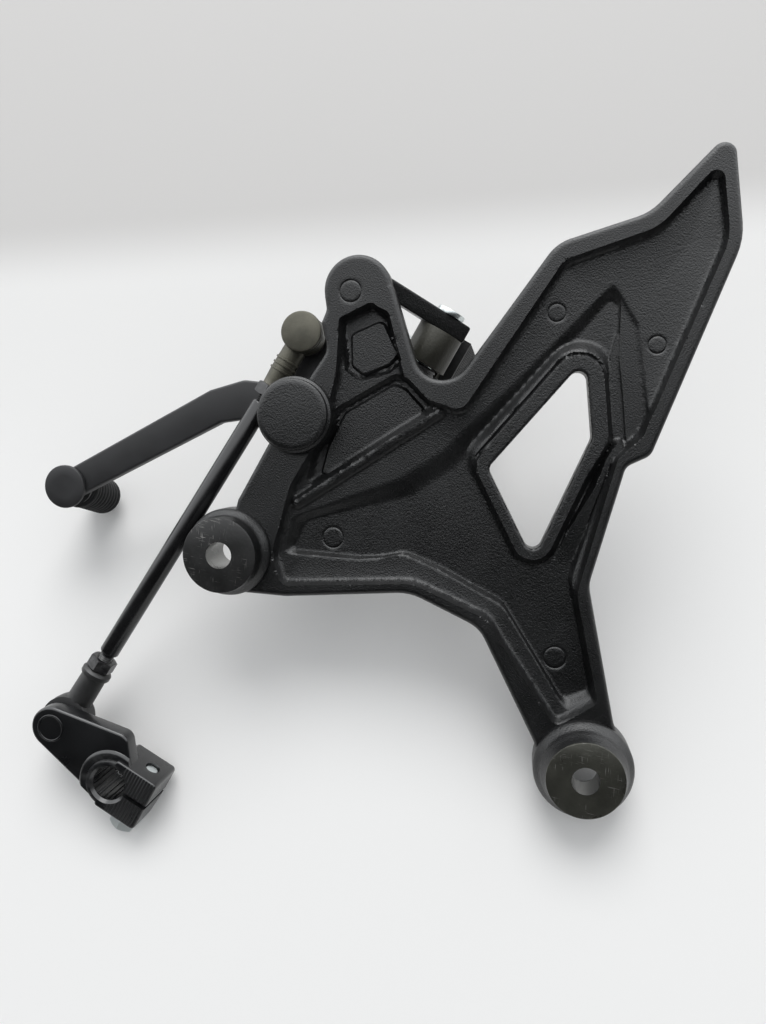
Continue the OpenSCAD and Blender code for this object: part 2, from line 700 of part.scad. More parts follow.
module shift_lever() {
    out_y = lever_y + lever_t;
    hub_r = hub_d / 2;
    color("darkgray") difference() {
        union() {
            post(pivot, hub_in_y, hub_out_y, hub_r, hub_r);
            link(pivot, hub_r, upper_ball, cup_d * 0.48, lever_y, out_y);
            link(pivot, hub_r, bend, lever_w / 2, lever_y, out_y);
            link(bend, lever_w / 2, toe, lever_toe_w / 2, lever_y, out_y);
        }
        post(pivot, hub_in_y - over, hub_out_y + over, bush_r + fit / 2, bush_r + fit / 2);
        post(upper_ball, lever_y - over, out_y + over,
            rod_thread_d / 2 + fit, rod_thread_d / 2 + fit);
        post(toe, lever_y - over, out_y + over,
            lever_toe_w * 0.32 + fit, lever_toe_w * 0.32 + fit);
    }
}

// Frame of the toe stub, leaning forward from the lever
module toe_frame() {
    translate([toe[0], lever_y + lever_t, toe[1]]) rotate([0, 0, -toe_splay]) children();
}

module toe_stub() {
    head_t = lever_t * 0.35;
    stub_r = lever_toe_w * 0.32;
    color("darkgray") {
        post(toe, lever_y - seat - head_t, lever_y - seat, toe_disc_d / 2, toe_disc_d / 2);
        post(toe, lever_y - seat - head_t, lever_y + lever_t + head_t, stub_r, stub_r);
        post(toe, lever_y + lever_t + seat, lever_y + lever_t + head_t,
            toe_disc_d * 0.45, toe_disc_d * 0.42);
        toe_frame() rotate([-90, 0, 0]) translate([0, 0, stub_r * 0.3])
            cylinder(h = toe_rubber_l * 0.94 - stub_r * 0.3, r = stub_r);
    }
}

module toe_rubber() {
    ribs = 8;
    stub_r = lever_toe_w * 0.32;
    r = toe_rubber_d / 2;
    start = lever_t * 0.8;
    pitch = (toe_rubber_l - start) / (ribs + 1);
    color("black") toe_frame() rotate([-90, 0, 0]) difference() {
        union() {
            translate([0, 0, start]) cylinder(h = toe_rubber_l - start, r = r * 0.9);
            for (k = [0:ribs])
                translate([0, 0, start + (k + 0.1) * pitch])
                    cylinder(h = pitch * 0.6, r = k == 0 ? r * 1.04 : r);
            translate([0, 0, toe_rubber_l]) cylinder(h = pitch / 2, r1 = r * 0.9, r2 = r * 0.7);
        }
        translate([0, 0, -over]) cylinder(h = toe_rubber_l * 0.94 + gap + over, r = stub_r + fit);
    }
}

// Ball stud with its ball at the origin and its thread along Y
module ball_stud(reach, out) {
    neck_r = ball_d * 0.28;
    base = stud_l - seat;
    flange = ball_d * 0.16;
    sphere(d = ball_d);
    post([0, 0], 0, base, neck_r, neck_r);
    post([0, 0], base - flange, base, ball_d * 0.4, ball_d * 0.4);
    post([0, 0], base, base + reach + out, rod_thread_d / 2, rod_thread_d / 2);
}

module upper_stud() {
    color("silver") translate([upper_ball[0], upper_ball_y, upper_ball[1]])
        ball_stud(lever_t, nut_t + rod_thread_d * 0.4);
}

module upper_nut() {
    y0 = lever_y + lever_t + seat;
    color("silver") difference() {
        union() {
            slab(y0 + nut_t / 5, y0 + nut_t) translate(upper_ball) hexagon(nut_af);
            post(upper_ball, y0, y0 + nut_t / 5, nut_af * 0.62, nut_af * 0.6);
        }
        post(upper_ball, y0 - over, y0 + nut_t + over,
            rod_thread_d / 2 + fit, rod_thread_d / 2 + fit);
    }
}

// Frame with its origin at the upper ball and X along the rod
module rod_frame() {
    translate([upper_ball[0], upper_ball_y, upper_ball[1]])
        rotate([0, rod_dip, 0]) rotate([0, 0, rod_lean]) children();
}

// Joint housing with its ball centre at the origin and its shank along X
module housing(d) {
    crimps = 3;
    r = d / 2;
    cup_top = -cup_h + cup_mouth;
    difference() {
        union() {
            post([0, 0], cup_top + ball_d * 0.08, cup_mouth, r, r * 0.94);
            post([0, 0], cup_top, cup_top + ball_d * 0.08, r - ball_d * 0.08, r);
            rotate([0, 90, 0]) cylinder(h = shank_l, d = shank_d);
            for (k = [0:crimps - 1])
                translate([shank_l * 0.5 + k * shank_d * 0.24, 0, 0]) rotate([0, 90, 0])
                    cylinder(h = shank_d * 0.12, d = shank_d * 1.1);
        }
        sphere(d = ball_d + 2 * fit);
        post([0, 0], 0, cup_mouth + over, ball_d * 0.46, ball_d * 0.56);
        translate([shank_l - thread_in - gap, 0, 0]) rotate([0, 90, 0])
            cylinder(h = thread_in + gap + over, r = rod_thread_d / 2 + fit);
    }
}

// Rubber boot with its ball centre at the origin
module boot(d) {
    r = d / 2;
    y0 = cup_mouth + seat;
    translate([0, y0, 0]) rotate([-90, 0, 0]) rotate_extrude() polygon([
        [r * 0.72, 0], [r * 0.94, 0], [r * 0.98, boot_h * 0.35], [r * 0.86, boot_h * 0.7],
        [boot_in + boot_wall, boot_h], [boot_in, boot_h], [boot_in, boot_h * 0.7],
        [r * 0.72, boot_h * 0.35]
    ]);
}

// Hexagonal nut along X with a bore for the rod thread
module rod_nut() {
    rotate([90, 0, 90]) difference() {
        linear_extrude(height = nut_t) hexagon(nut_af);
        translate([0, 0, -over]) cylinder(h = nut_t + 2 * over, r = rod_thread_d / 2 + fit);
    }
}

module upper_housing() {
    color("olivedrab") rod_frame() housing(cup_d);
}

module upper_boot() {
    color("black") rod_frame() boot(cup_d);
}

module upper_lock_nut() {
    color("silver") rod_frame() translate([shank_l + seat, 0, 0]) rod_nut();
}

module shift_rod() {
    start = shank_l + nut_t + 2 * seat;
    taper = rod_d / 8;
    color("dimgray") rod_frame() rotate([0, 90, 0]) {
        translate([0, 0, start + taper]) cylinder(h = rod_span - 2 * start - 2 * taper, d = rod_d);
        translate([0, 0, start]) cylinder(h = taper, d1 = rod_d - 2 * taper, d2 = rod_d);
        translate([0, 0, rod_span - start - taper])
            cylinder(h = taper, d1 = rod_d, d2 = rod_d - 2 * taper);
        translate([0, 0, shank_l - thread_in])
            cylinder(h = rod_span - 2 * (shank_l - thread_in), d = rod_thread_d);
    }
}

// Frame of the lower joint, turned so that its stud points inboard
module lower_frame() {
    rod_frame() translate([rod_span, 0, 0]) rotate([0, 0, 180]) children();
}

module lower_lock_nut() {
    color("silver") lower_frame() translate([shank_l + seat, 0, 0]) rod_nut();
}

module lower_housing() {
    color("gray") lower_frame() {
        housing(low_cup_d);
        difference() {
            translate([shank_l - shank_d * 0.4, 0, 0]) rotate([0, 90, 0])
                cylinder(h = shank_d * 0.4, d = nut_af * 1.16);
            translate([shank_l - thread_in - gap, 0, 0]) rotate([0, 90, 0])
                cylinder(h = thread_in + gap + over, r = rod_thread_d / 2 + fit);
        }
    }
}

module lower_boot() {
    color("black") lower_frame() boot(low_cup_d);
}

module lower_stud() {
    color("silver") translate([lower_ball[0], lower_ball_y, lower_ball[1]])
        rotate([0, 0, 180]) ball_stud(arm_t * 0.6, 0);
}

module shift_arm() {
    clamp_in = arm_in_y - arm_t * 0.3;
    clamp_out = clamp_in + clamp_l;
    end_r = arm_end_d / 2;
    clamp_r = clamp_d / 2;
    bolt_y = (clamp_in + clamp_out) / 2;
    bolt_z = shaft[1] + spline_d / 2 + rod_thread_d * 0.75;
    teeth = 20;
    tooth = spline_d * 3.1416 / teeth * 0.45;
    shoulder = [shaft[0] - block_w * 0.72, shaft[1] - clamp_r * 0.5];
    color("dimgray") difference() {
        union() {
            link(lower_ball, end_r, shaft, clamp_r, arm_in_y, arm_out_y);
            link(lower_ball, end_r, shoulder, clamp_r * 0.45, arm_in_y, arm_out_y);
            link(shoulder, clamp_r * 0.45, shaft, clamp_r * 0.8, arm_in_y, arm_out_y);
            post(shaft, clamp_in + lip, clamp_out, clamp_r, clamp_r);
            post(shaft, clamp_in, clamp_in + lip, clamp_r - lip, clamp_r);
            translate([shaft[0] - block_w / 2, clamp_in, shaft[1]])
                cube([block_w, clamp_l, block_reach]);
            collar(lower_ball, arm_in_y - lip, arm_in_y + lip, end_r * 0.56, end_r * 0.66);
        }
        post(shaft, clamp_in - over, clamp_out + over, spline_d / 2, spline_d / 2);
        post(shaft, clamp_in - over, clamp_in + spline_h, spline_d / 2 + 2 * spline_h, spline_d / 2);
        for (k = [0:teeth - 1])
            translate([shaft[0], clamp_in - over, shaft[1]]) rotate([0, k * 360 / teeth, 0])
                translate([-tooth / 2, 0, 0])
                cube([tooth, clamp_l + 2 * over, spline_d / 2 + spline_h]);
        translate([shaft[0] - slit_w / 2, clamp_in - over, shaft[1]])
            cube([slit_w, clamp_l + 2 * over, block_reach + over]);
        translate([shaft[0] - block_w / 2 - over, bolt_y, bolt_z]) rotate([0, 90, 0])
            cylinder(h = block_w + 2 * over, r = rod_thread_d / 2 + fit);
        post(lower_ball, arm_out_y - arm_t * 0.6 - gap, arm_out_y + over,
            rod_thread_d / 2 + fit, rod_thread_d / 2 + fit);
    }
}

module pinch_bolt() {
    clamp_in = arm_in_y - arm_t * 0.3;
    bolt_y = clamp_in + clamp_l / 2;
    bolt_z = shaft[1] + spline_d / 2 + rod_thread_d * 0.75;
    face = shaft[0] + block_w / 2;
    washer_t = rod_thread_d / 5;
    color("lightsteelblue") translate([face + washer_t + 2 * seat, bolt_y, bolt_z])
        rotate([0, 90, 0]) {
            cylinder(h = rod_thread_d * 0.25, d1 = nut_af * 1.3, d2 = nut_af * 1.2);
            translate([0, 0, rod_thread_d * 0.2])
                linear_extrude(height = rod_thread_d * 0.7) hexagon(nut_af);
            translate([0, 0, -block_w * 0.96 - washer_t]) cylinder(h = block_w + washer_t,
                d = rod_thread_d);
        }
}

module pinch_washer() {
    clamp_in = arm_in_y - arm_t * 0.3;
    bolt_y = clamp_in + clamp_l / 2;
    bolt_z = shaft[1] + spline_d / 2 + rod_thread_d * 0.75;
    face = shaft[0] + block_w / 2;
    color("silver") translate([face + seat, bolt_y, bolt_z]) rotate([0, 90, 0]) difference() {
        cylinder(h = rod_thread_d / 5, d = nut_af * 1.3);
        translate([0, 0, -over]) cylinder(h = rod_thread_d / 5 + 2 * over,
            r = rod_thread_d / 2 + fit);
    }
}

hanger();
peg_pin();
peg_clip();
peg_spring();
peg_bar();
peg_tread();
peg_feeler();
pivot_bolt();
seal_inner();
seal_outer();
pivot_bush();
shift_lever();
toe_stub();
toe_rubber();
upper_stud();
upper_nut();
upper_housing();
upper_boot();
upper_lock_nut();
shift_rod();
lower_lock_nut();
lower_housing();
lower_boot();
lower_stud();
shift_arm();
pinch_bolt();
pinch_washer();
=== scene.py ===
# %% [markdown]
# # A cast footrest hanger
# The imported model is the fixed frame of this scene. Every piece is made in place
# around it, in metres, with X forward, Y outboard and Z up.

# %% Load the frame
import json
import math

import bmesh
import bpy
import numpy as np
from mathutils import Matrix, Vector
from mathutils.geometry import delaunay_2d_cdt


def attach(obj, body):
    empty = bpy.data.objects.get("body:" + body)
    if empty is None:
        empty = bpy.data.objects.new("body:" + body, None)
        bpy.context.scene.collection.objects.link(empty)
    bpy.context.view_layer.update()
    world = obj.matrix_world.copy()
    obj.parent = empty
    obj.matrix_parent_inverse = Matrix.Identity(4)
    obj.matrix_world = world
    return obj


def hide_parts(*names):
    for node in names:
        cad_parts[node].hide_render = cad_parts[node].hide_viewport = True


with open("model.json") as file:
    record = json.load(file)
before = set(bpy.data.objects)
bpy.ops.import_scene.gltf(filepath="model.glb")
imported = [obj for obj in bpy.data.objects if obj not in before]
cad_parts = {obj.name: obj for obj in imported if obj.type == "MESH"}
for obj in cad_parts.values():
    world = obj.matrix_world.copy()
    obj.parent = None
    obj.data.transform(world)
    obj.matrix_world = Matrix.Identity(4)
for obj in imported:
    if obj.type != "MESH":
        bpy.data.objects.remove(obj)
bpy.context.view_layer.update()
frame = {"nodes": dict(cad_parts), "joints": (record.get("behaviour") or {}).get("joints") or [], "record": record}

# %% [markdown]
# Shapes are easier to think of in millimetres, so this file works in them and turns
# points into metres once, when a mesh is made. The distance between the two mount bores
# is read from the record. Outlines are written as shares of it, as the solids are.

# %% Measures from the frame
MM = 0.001
mounts = {m["name"]: m for m in frame["record"]["mounts"]}
joints = {j["name"]: j for j in frame["joints"]}
lower_bore = np.array(mounts["lower_mount"]["pos_m"]) / MM
upper_bore = np.array(mounts["upper_mount"]["pos_m"]) / MM
SPAN = float(upper_bore[2] - lower_bore[2])
BORE_R = mounts["lower_mount"]["dims"]["r_mm"]


def flat(point):
    """The X and Z of a point of the frame, in millimetres."""
    return np.array([point[0], point[2]]) / MM


PIVOT = flat(joints["lever_turn"]["pos_m"])
UPPER_BALL = flat(joints["rod_swing"]["pos_m"])
LOWER_BALL = flat(joints["arm_swing"]["pos_m"])
SHAFT = flat(mounts["shaft_clamp"]["pos_m"])
print("bolt span", round(SPAN, 1), "pivot", PIVOT.round(1))

# %% [markdown]
# Castings have long outlines of straight runs and soft corners. Each corner is written as
# X, Z and a radius, all as shares of the bolt span. A helper turns corners into a closed
# line of even small steps, because the surface is later measured by its distance to it.

# %% Outlines with rounded corners
ARC_STEP = math.radians(9)


def unit(v):
    return v / np.linalg.norm(v)


def cross(a, b):
    return a[0] * b[1] - a[1] * b[0]


def turned_left(c):
    """The same corners, always anticlockwise in X and Z."""
    area = sum(cross(c[i - 1, :2], c[i, :2]) for i in range(len(c)))
    return c if area > 0 else c[::-1]


def rounded(shares):
    """Closed line through corners in shares, each rounded by its own radius."""
    return smooth(np.array(shares) * SPAN)


def smooth(corners):
    """Closed line through corners in millimetres, each rounded by its own radius."""
    c = turned_left(corners)
    points = []
    for i in range(len(c)):
        before = unit(c[i, :2] - c[i - 1, :2])
        after = unit(c[(i + 1) % len(c), :2] - c[i, :2])
        side = np.sign(cross(before, after))
        n0 = np.array([before[1], -before[0]])
        n1 = np.array([after[1], -after[0]])
        mitre = (n0 + n1) / (1 + n0 @ n1)
        radius = c[i, 2]
        centre = c[i, :2] - side * radius * mitre
        a0 = math.atan2(n0[1], n0[0])
        sweep = math.atan2(cross(n0, n1), n0 @ n1)
        count = max(2, int(abs(sweep) / ARC_STEP) + 1)
        for k in range(count + 1):
            a = a0 + sweep * k / count
            points.append(centre + side * radius * np.array([math.cos(a), math.sin(a)]))
    return np.array(points)


def even(line, step, closed=True):
    """The line with points at even steps, so that no stretch is coarse."""
    ends = np.roll(line, -1, 0) if closed else line[1:]
    starts = line if closed else line[:-1]
    out = []
    for a, b in zip(starts, ends):
        count = max(1, int(round(np.linalg.norm(b - a) / step)))
        out.extend(a + (b - a) * k / count for k in range(count))
    if not closed:
        out.append(line[-1])
    return np.array(out)


# %% [markdown]
# The casting is seen best as a relief: a rim, a wide recess inside it, a deep well, two
# small pockets, a window with a raised border, two steps, a wedge that fades into the
# leg, and one thin rib. Each has its own outline.

# %% Outlines of the casting
PLATE = rounded([
    [-0.021, -0.021, 0.02], [0.088, 0.05, 0.02], [0.025, 0.178, 0.14],
    [-0.145, 0.437, 0.12], [-0.159, 0.623, 0.083], [0.01, 0.873, 0.05],
    [0.085, 0.945, 0.012], [0.03, 1.03, 0.012], [-0.066, 1.075, 0.012],
    [-0.131, 1.003, 0.028], [-0.381, 0.787, 0.07], [-0.658, 0.716, 0.028],
    [-0.707, 0.75, 0.034], [-1.205, 0.673, 0.15], [-1.398, 0.53, 0.027],
    [-1.164, 0.468, 0.11], [-1.014, 0.323, 0.09], [-0.54, 0.269, 0.068],
    [-0.766, 0.029, 0.02], [-0.709, -0.03, 0.012], [-0.666, -0.1, 0.012],
    [-0.633, -0.074, 0.019], [-0.6, -0.07, 0.014], [-0.551, -0.025, 0.04],
    [-0.44, -0.035, 0.012], [-0.378, -0.02, 0.012], [-0.291, -0.044, 0.02],
    [-0.123, -0.045, 0.02],
])
RECESS = rounded([
    [-0.628, -0.034, 0.02], [-0.697, 0.017, 0.03], [-0.699, 0.063, 0.02],
    [-0.558, 0.197, 0.052], [-0.584, 0.328, 0.033], [-0.988, 0.357, 0.056],
    [-1.144, 0.501, 0.11], [-1.328, 0.544, 0.019], [-1.191, 0.646, 0.13],
    [-0.734, 0.712, 0.023], [-0.665, 0.69, 0.03], [-0.35, 0.773, 0.093],
    [-0.152, 0.948, 0.018], [-0.05, 0.896, 0.02], [-0.158, 0.681, 0.071],
    [-0.188, 0.628, 0.047], [-0.169, 0.432, 0.096], [0.006, 0.156, 0.025],
    [-0.048, 0.097, 0.049], [-0.224, 0.054, 0.073], [-0.375, 0.06, 0.048],
    [-0.516, 0.02, 0.07],
])
WELL_LIP = rounded([
    [-1.006, 0.478, 0.012], [-0.691, 0.392, 0.04], [-0.478, 0.327, 0.03],
    [-0.371, 0.27, 0.03], [-0.15, 0.09, 0.02], [-0.06, 0.118, 0.014],
    [-0.146, 0.29, 0.1], [-0.178, 0.335, 0.06], [-0.214, 0.374, 0.06],
    [-0.225, 0.47, 0.3], [-0.23, 0.645, 0.06], [-0.09, 0.902, 0.014],
    [-0.155, 0.938, 0.016], [-0.364, 0.753, 0.08], [-0.66, 0.685, 0.03],
    [-0.735, 0.712, 0.02], [-0.79, 0.7, 0.03], [-0.95, 0.575, 0.04],
])
WELL_FLOOR = rounded([
    [-0.97, 0.492, 0.01], [-0.69, 0.442, 0.03], [-0.468, 0.385, 0.03],
    [-0.345, 0.325, 0.03], [-0.165, 0.13, 0.02], [-0.08, 0.13, 0.01],
    [-0.156, 0.288, 0.1], [-0.189, 0.338, 0.06], [-0.225, 0.378, 0.06],
    [-0.236, 0.47, 0.3], [-0.242, 0.64, 0.06], [-0.112, 0.878, 0.012],
    [-0.163, 0.92, 0.014], [-0.37, 0.736, 0.07], [-0.665, 0.665, 0.03],
    [-0.745, 0.688, 0.02], [-0.785, 0.682, 0.03], [-0.935, 0.568, 0.03],
])
WINDOW = rounded([
    [-0.826, 0.512, 0.021], [-0.677, 0.617, 0.034], [-0.364, 0.648, 0.021],
    [-0.498, 0.447, 0.02],
])
WEDGE = rounded([
    [-0.32, 0.062, 0.02], [-0.44, 0.056, 0.03], [-0.52, 0.103, 0.15],
    [-0.584, 0.143, 0.022], [-0.588, 0.18, 0.03], [-0.562, 0.264, 0.014],
    [-0.528, 0.264, 0.01], [-0.245, 0.098, 0.012], [-0.25, 0.078, 0.012],
])
WEDGE_PAD = rounded([
    [-0.345, 0.082, 0.014], [-0.442, 0.078, 0.02], [-0.562, 0.15, 0.022],
    [-0.566, 0.182, 0.02], [-0.546, 0.246, 0.012], [-0.522, 0.249, 0.01],
    [-0.288, 0.118, 0.01], [-0.275, 0.1, 0.01],
])
HEAD_POCKET = rounded([
    [-0.63, -0.036, 0.012], [-0.701, 0.014, 0.02], [-0.691, 0.064, 0.02],
    [-0.614, 0.148, 0.012], [-0.575, 0.13, 0.03], [-0.524, 0.077, 0.03],
    [-0.528, 0.032, 0.02], [-0.572, 0.002, 0.06], [-0.598, -0.02, 0.03],
])
HEAD_PAD = rounded([
    [-0.612, -0.002, 0.018], [-0.682, 0.052, 0.02], [-0.626, 0.13, 0.014],
    [-0.594, 0.123, 0.024], [-0.538, 0.077, 0.02], [-0.545, 0.038, 0.016],
])
DIAGONAL_RIB = np.array([[-0.19, 0.085], [-0.331, 0.159], [-0.46, 0.227], [-0.555, 0.28]]) * SPAN
UPPER_STEP = rounded([
    [-1.002, 0.5, 0.01], [-0.995, 0.535, 0.01], [-0.904, 0.61, 0.05], [-0.775, 0.705, 0.02],
    [-0.735, 0.715, 0.012], [-0.705, 0.692, 0.01], [-0.799, 0.626, 0.1], [-0.868, 0.574, 0.1],
])
LOWER_STEP = rounded([
    [-0.925, 0.54, 0.004], [-0.868, 0.582, 0.1], [-0.799, 0.634, 0.1], [-0.7, 0.699, 0.01],
    [-0.67, 0.672, 0.01], [-0.709, 0.636, 0.03], [-0.783, 0.585, 0.04], [-0.85, 0.562, 0.03],
])
LEG_WEDGE = rounded([
    [-0.7, 0.672, 0.006], [-0.65, 0.67, 0.05], [-0.583, 0.683, 0.1], [-0.461, 0.683, 0.1],
    [-0.385, 0.693, 0.1], [-0.25, 0.715, 0.02], [-0.27, 0.79, 0.02], [-0.402, 0.738, 0.1],
    [-0.525, 0.706, 0.2], [-0.64, 0.684, 0.02], [-0.69, 0.695, 0.006],
])
HEAD_CENTRE = np.array([-0.709, -0.03]) * SPAN
HEAD_R = 0.081 * SPAN


def with_disc(line, centre, radius):
    """The closed line joined with a disc that it crosses twice."""
    fine = even(line, 0.3)
    hidden = np.hypot(*(fine - centre).T) < radius
    start = next(i for i in range(len(fine)) if hidden[i] and not hidden[i - 1])
    fine = np.roll(fine, -start, 0)
    hidden = np.roll(hidden, -start)
    end = int(np.argmin(hidden))
    a0, a1 = (math.atan2(p[1] - centre[1], p[0] - centre[0]) for p in (fine[0], fine[end]))
    sweep = (a1 - a0) % (2 * math.pi)
    count = int(sweep / math.radians(4))
    turned = [a0 + sweep * k / count for k in range(count)]
    disc = [centre + radius * np.array([math.cos(a), math.sin(a)]) for a in turned]
    whole = np.concatenate([np.array(disc), fine[end:]])
    before = whole - np.roll(whole, 1, 0)
    after = np.roll(whole, -1, 0) - whole
    bend = before[:, 0] * after[:, 1] - before[:, 1] * after[:, 0]
    return whole[np.abs(bend) > 1e-6]


PLATE = with_disc(PLATE, HEAD_CENTRE, HEAD_R)
print("plate outline", len(PLATE), "points")

# %% [markdown]
# A relief like this can be a pile of lofts and booleans, but then every edge is hard. Here
# each point of the face gets its height from its distance to the outlines instead. Walls,
# crests and fillets are then smooth curves of that distance, as in a real mould.

# %% Distances to lines
def nearest(points, line, closed=True):
    """Distance from each point to a line, in chunks that stay small."""
    a = line
    b = np.roll(line, -1, 0)
    if not closed:
        a, b = line[:-1], line[1:]
    d = b - a
    length = (d ** 2).sum(1) + 1e-12
    out = np.empty(len(points))
    for start in range(0, len(points), 4000):
        p = points[start:start + 4000, None, :] - a[None]
        t = np.clip((p * d).sum(2) / length, 0, 1)
        out[start:start + 4000] = np.sqrt(((p - t[..., None] * d) ** 2).sum(2).min(1))
    return out


def inside(points, line):
    """True where a point lies inside a closed line."""
    x, z = points[:, 0], points[:, 1]
    hit = np.zeros(len(points), bool)
    for (ax, az), (bx, bz) in zip(line, np.roll(line, -1, 0)):
        if az == bz:
            continue
        crossing = (az > z) != (bz > z)
        hit ^= crossing & (x < (bx - ax) * (z - az) / (bz - az) + ax)
    return hit


def signed(points, line):
    """Distance to a closed line, negative inside it."""
    return np.where(inside(points, line), -1, 1) * nearest(points, line)


def ease(t):
    """From 0 to 1 with soft ends."""
    t = np.clip(t, 0, 1)
    return t * t * (3 - 2 * t)


def drop(t):
    """From 0 to 1 with a crisp lip and a soft foot, as a mould leaves a wall."""
    t = np.clip(t, 0, 1)
    return 0.45 * ease(t) + 0.55 * (1 - (1 - t) ** 2.4)


def lowest(a, b, k):
    """The smaller of two depths, with a fillet of size k where they meet."""
    h = np.clip(0.5 + 0.5 * (b - a) / k, 0, 1)
    return b * (1 - h) + a * h - k * h * (1 - h)


# %% [markdown]
# The face of the casting, as a depth below the rim. The recess gets slowly deeper away
# from its wall, which is why its narrow bands catch the light. Bosses lift the floor round
# them, and the outer edge rolls over.

# %% Depth of the face at any point
RIM_Y = 12.0
BACK_Y = 23.0
EDGE_R = 1.9
WINDOW_R = 1.0
RECESS_DEPTH = 3.3
RECESS_SAG = 1.5
WELL_DEPTH = 6.9
POCKET_DEPTH = 6.8
WALL_W = 2.1
BORDER_W = 6.0
BORDER_LOW_W = 4.2
BORDER_DROP = 1.6
LOWER_BOSS_R = 15.0
UPPER_BOSS_R = 16.5
UPPER_FACE_R = 14.8
FLARE = 2.8
PAD_R = 14.0
PAD_Y = 5.0
MARK_RADII = [4.2, 3.3, 3.2, 4.2, 4.3]
MARK_SHARES = [[-0.697, -0.042], [-0.884, 0.402], [-0.928, 0.634], [-0.157, 0.204], [-0.185, 0.816]]
MARKS = np.array(MARK_SHARES) * SPAN


def ridge(points, path, crest, width, slope):
    """Depth of a rib with a rounded crest along a path."""
    return crest + slope * np.maximum(0, nearest(points, path, closed=False) - width / 2)


def shelf(points, outline, crest, slope):
    """Depth of a flat step inside an outline, with a sloping foot round it."""
    return crest + slope * np.maximum(0, signed(points, outline))


def roll(s, radius):
    """Fall of an edge that rolls over with a radius, at a signed distance s from it."""
    t = np.clip(1 + s / radius, 0, 1)
    return radius * (1 - np.sqrt(np.maximum(0, 1 - t * t)))


def face_depth(points):
    """Depth of the inboard face below the rim."""
    recess = signed(points, RECESS)
    depth = RECESS_DEPTH * drop(-recess / WALL_W)
    depth += RECESS_SAG * (1 - np.exp(np.minimum(0, recess) / 7))
    lip = signed(points, WELL_LIP)
    floor = signed(points, WELL_FLOOR)
    share = np.where(lip < 0, -lip / (np.maximum(0, floor) - lip + 1e-6), 0)
    well = depth + (WELL_DEPTH - depth) * ease(share)
    depth = np.where(lip < 0, np.maximum(depth, well), depth)
    for pocket, pad, rise in ((WEDGE, WEDGE_PAD, 1.5), (HEAD_POCKET, HEAD_PAD, 1.9)):
        wall = drop(-signed(points, pocket) / WALL_W)
        low = POCKET_DEPTH - rise * ease(-signed(points, pad) / 1.1)
        depth = depth + np.maximum(0, low - depth) * wall
    window = signed(points, WINDOW)
    upper = ease((-points @ np.array([0.857, 0.508]) / SPAN - 0.15) / 0.12)
    beyond = window - BORDER_LOW_W - (BORDER_W - BORDER_LOW_W) * upper
    left = upper * (1 - ease((points[:, 1] / SPAN - 0.52) / 0.1))
    flange = 2.2 + 1.15 * np.maximum(0, beyond - 1.7) + 5 * (1 - left)
    depth = lowest(depth, flange, 0.8)
    depth = lowest(depth, BORDER_DROP + 2.2 * np.maximum(0, beyond), 0.4)
    depth += 0.6 * left * np.exp(-((beyond - 0.55) / 0.4) ** 2)
    depth = lowest(depth, ridge(points, DIAGONAL_RIB, 1.7, 1.6, 1.5), 0.9)
    depth = lowest(depth, shelf(points, UPPER_STEP, 5.4, 1.3), 0.7)
    depth = lowest(depth, shelf(points, LOWER_STEP, 6.1, 1.3), 0.7)
    fading = 2.6 + (WELL_DEPTH - 1.4) * ease((points[:, 0] / SPAN + 0.68) / 0.4)
    depth = lowest(depth, shelf(points, LEG_WEDGE, fading, 2.0), 0.6)
    for centre, radius in ((lower_bore, LOWER_BOSS_R), (upper_bore, UPPER_BOSS_R)):
        rho = np.hypot(points[:, 0] - centre[0], points[:, 1] - centre[2])
        depth = np.maximum(depth, 0) * ease((rho - radius - FLARE + 0.6) / 2.5)
    rho = np.hypot(*(points - PIVOT).T)
    depth *= ease((rho - PAD_R + 0.3) / 2.2)
    for mark, radius in zip(MARKS, MARK_RADII):
        rho = np.hypot(*(points - mark).T)
        depth += 0.3 * np.exp(-((rho - radius) / 0.28) ** 2)
    edge = signed(points, PLATE)
    depth = np.maximum(depth, 0) + roll(edge, EDGE_R)
    return depth + roll(-window, WINDOW_R) * (window > 0)


# %% [markdown]
# The face is a sheet of small triangles. Points on a fine grid alone would leave jagged
# crests, so extra points follow every outline at the distances where its wall starts and
# ends. Blender's triangulation joins all of them and keeps the outer edges as they are.

# %% Triangles of the face
GRID = 0.85


def along(line, offsets, step):
    """Points beside a closed line at signed offsets from it."""
    fine = even(line, step)
    tangent = np.roll(fine, -1, 0) - np.roll(fine, 1, 0)
    tangent /= np.linalg.norm(tangent, axis=1)[:, None] + 1e-9
    normal = np.c_[tangent[:, 1], -tangent[:, 0]]
    rows = []
    for offset in offsets:
        row = fine + normal * offset
        rows.append(row[nearest(row, line) > abs(offset) - 0.05])
    return np.concatenate(rows)


def ring(centre, radius, count):
    a = np.arange(count) * 2 * math.pi / count
    return np.c_[centre[0] + radius * np.cos(a), centre[1] + radius * np.sin(a)]


def spread(points, spacing):
    """The points without those that lie closer than the spacing to an earlier one."""
    cell = np.round(points / spacing).astype(int)
    _, first = np.unique(cell, axis=0, return_index=True)
    return points[np.sort(first)]


def regions(tris, fences):
    """Number of the region of each triangle, where fences part the regions."""
    beside = {}
    for index, tri in enumerate(tris):
        for a, b in zip(tri, np.roll(tri, -1)):
            key = (min(a, b), max(a, b))
            if key not in fences:
                beside.setdefault(key, []).append(index)
    parent = list(range(len(tris)))

    def root(i):
        while parent[i] != i:
            parent[i] = parent[parent[i]]
            i = parent[i]
        return i

    for pair in beside.values():
        if len(pair) == 2:
            parent[root(pair[0])] = root(pair[1])
    return np.array([root(i) for i in range(len(tris))])


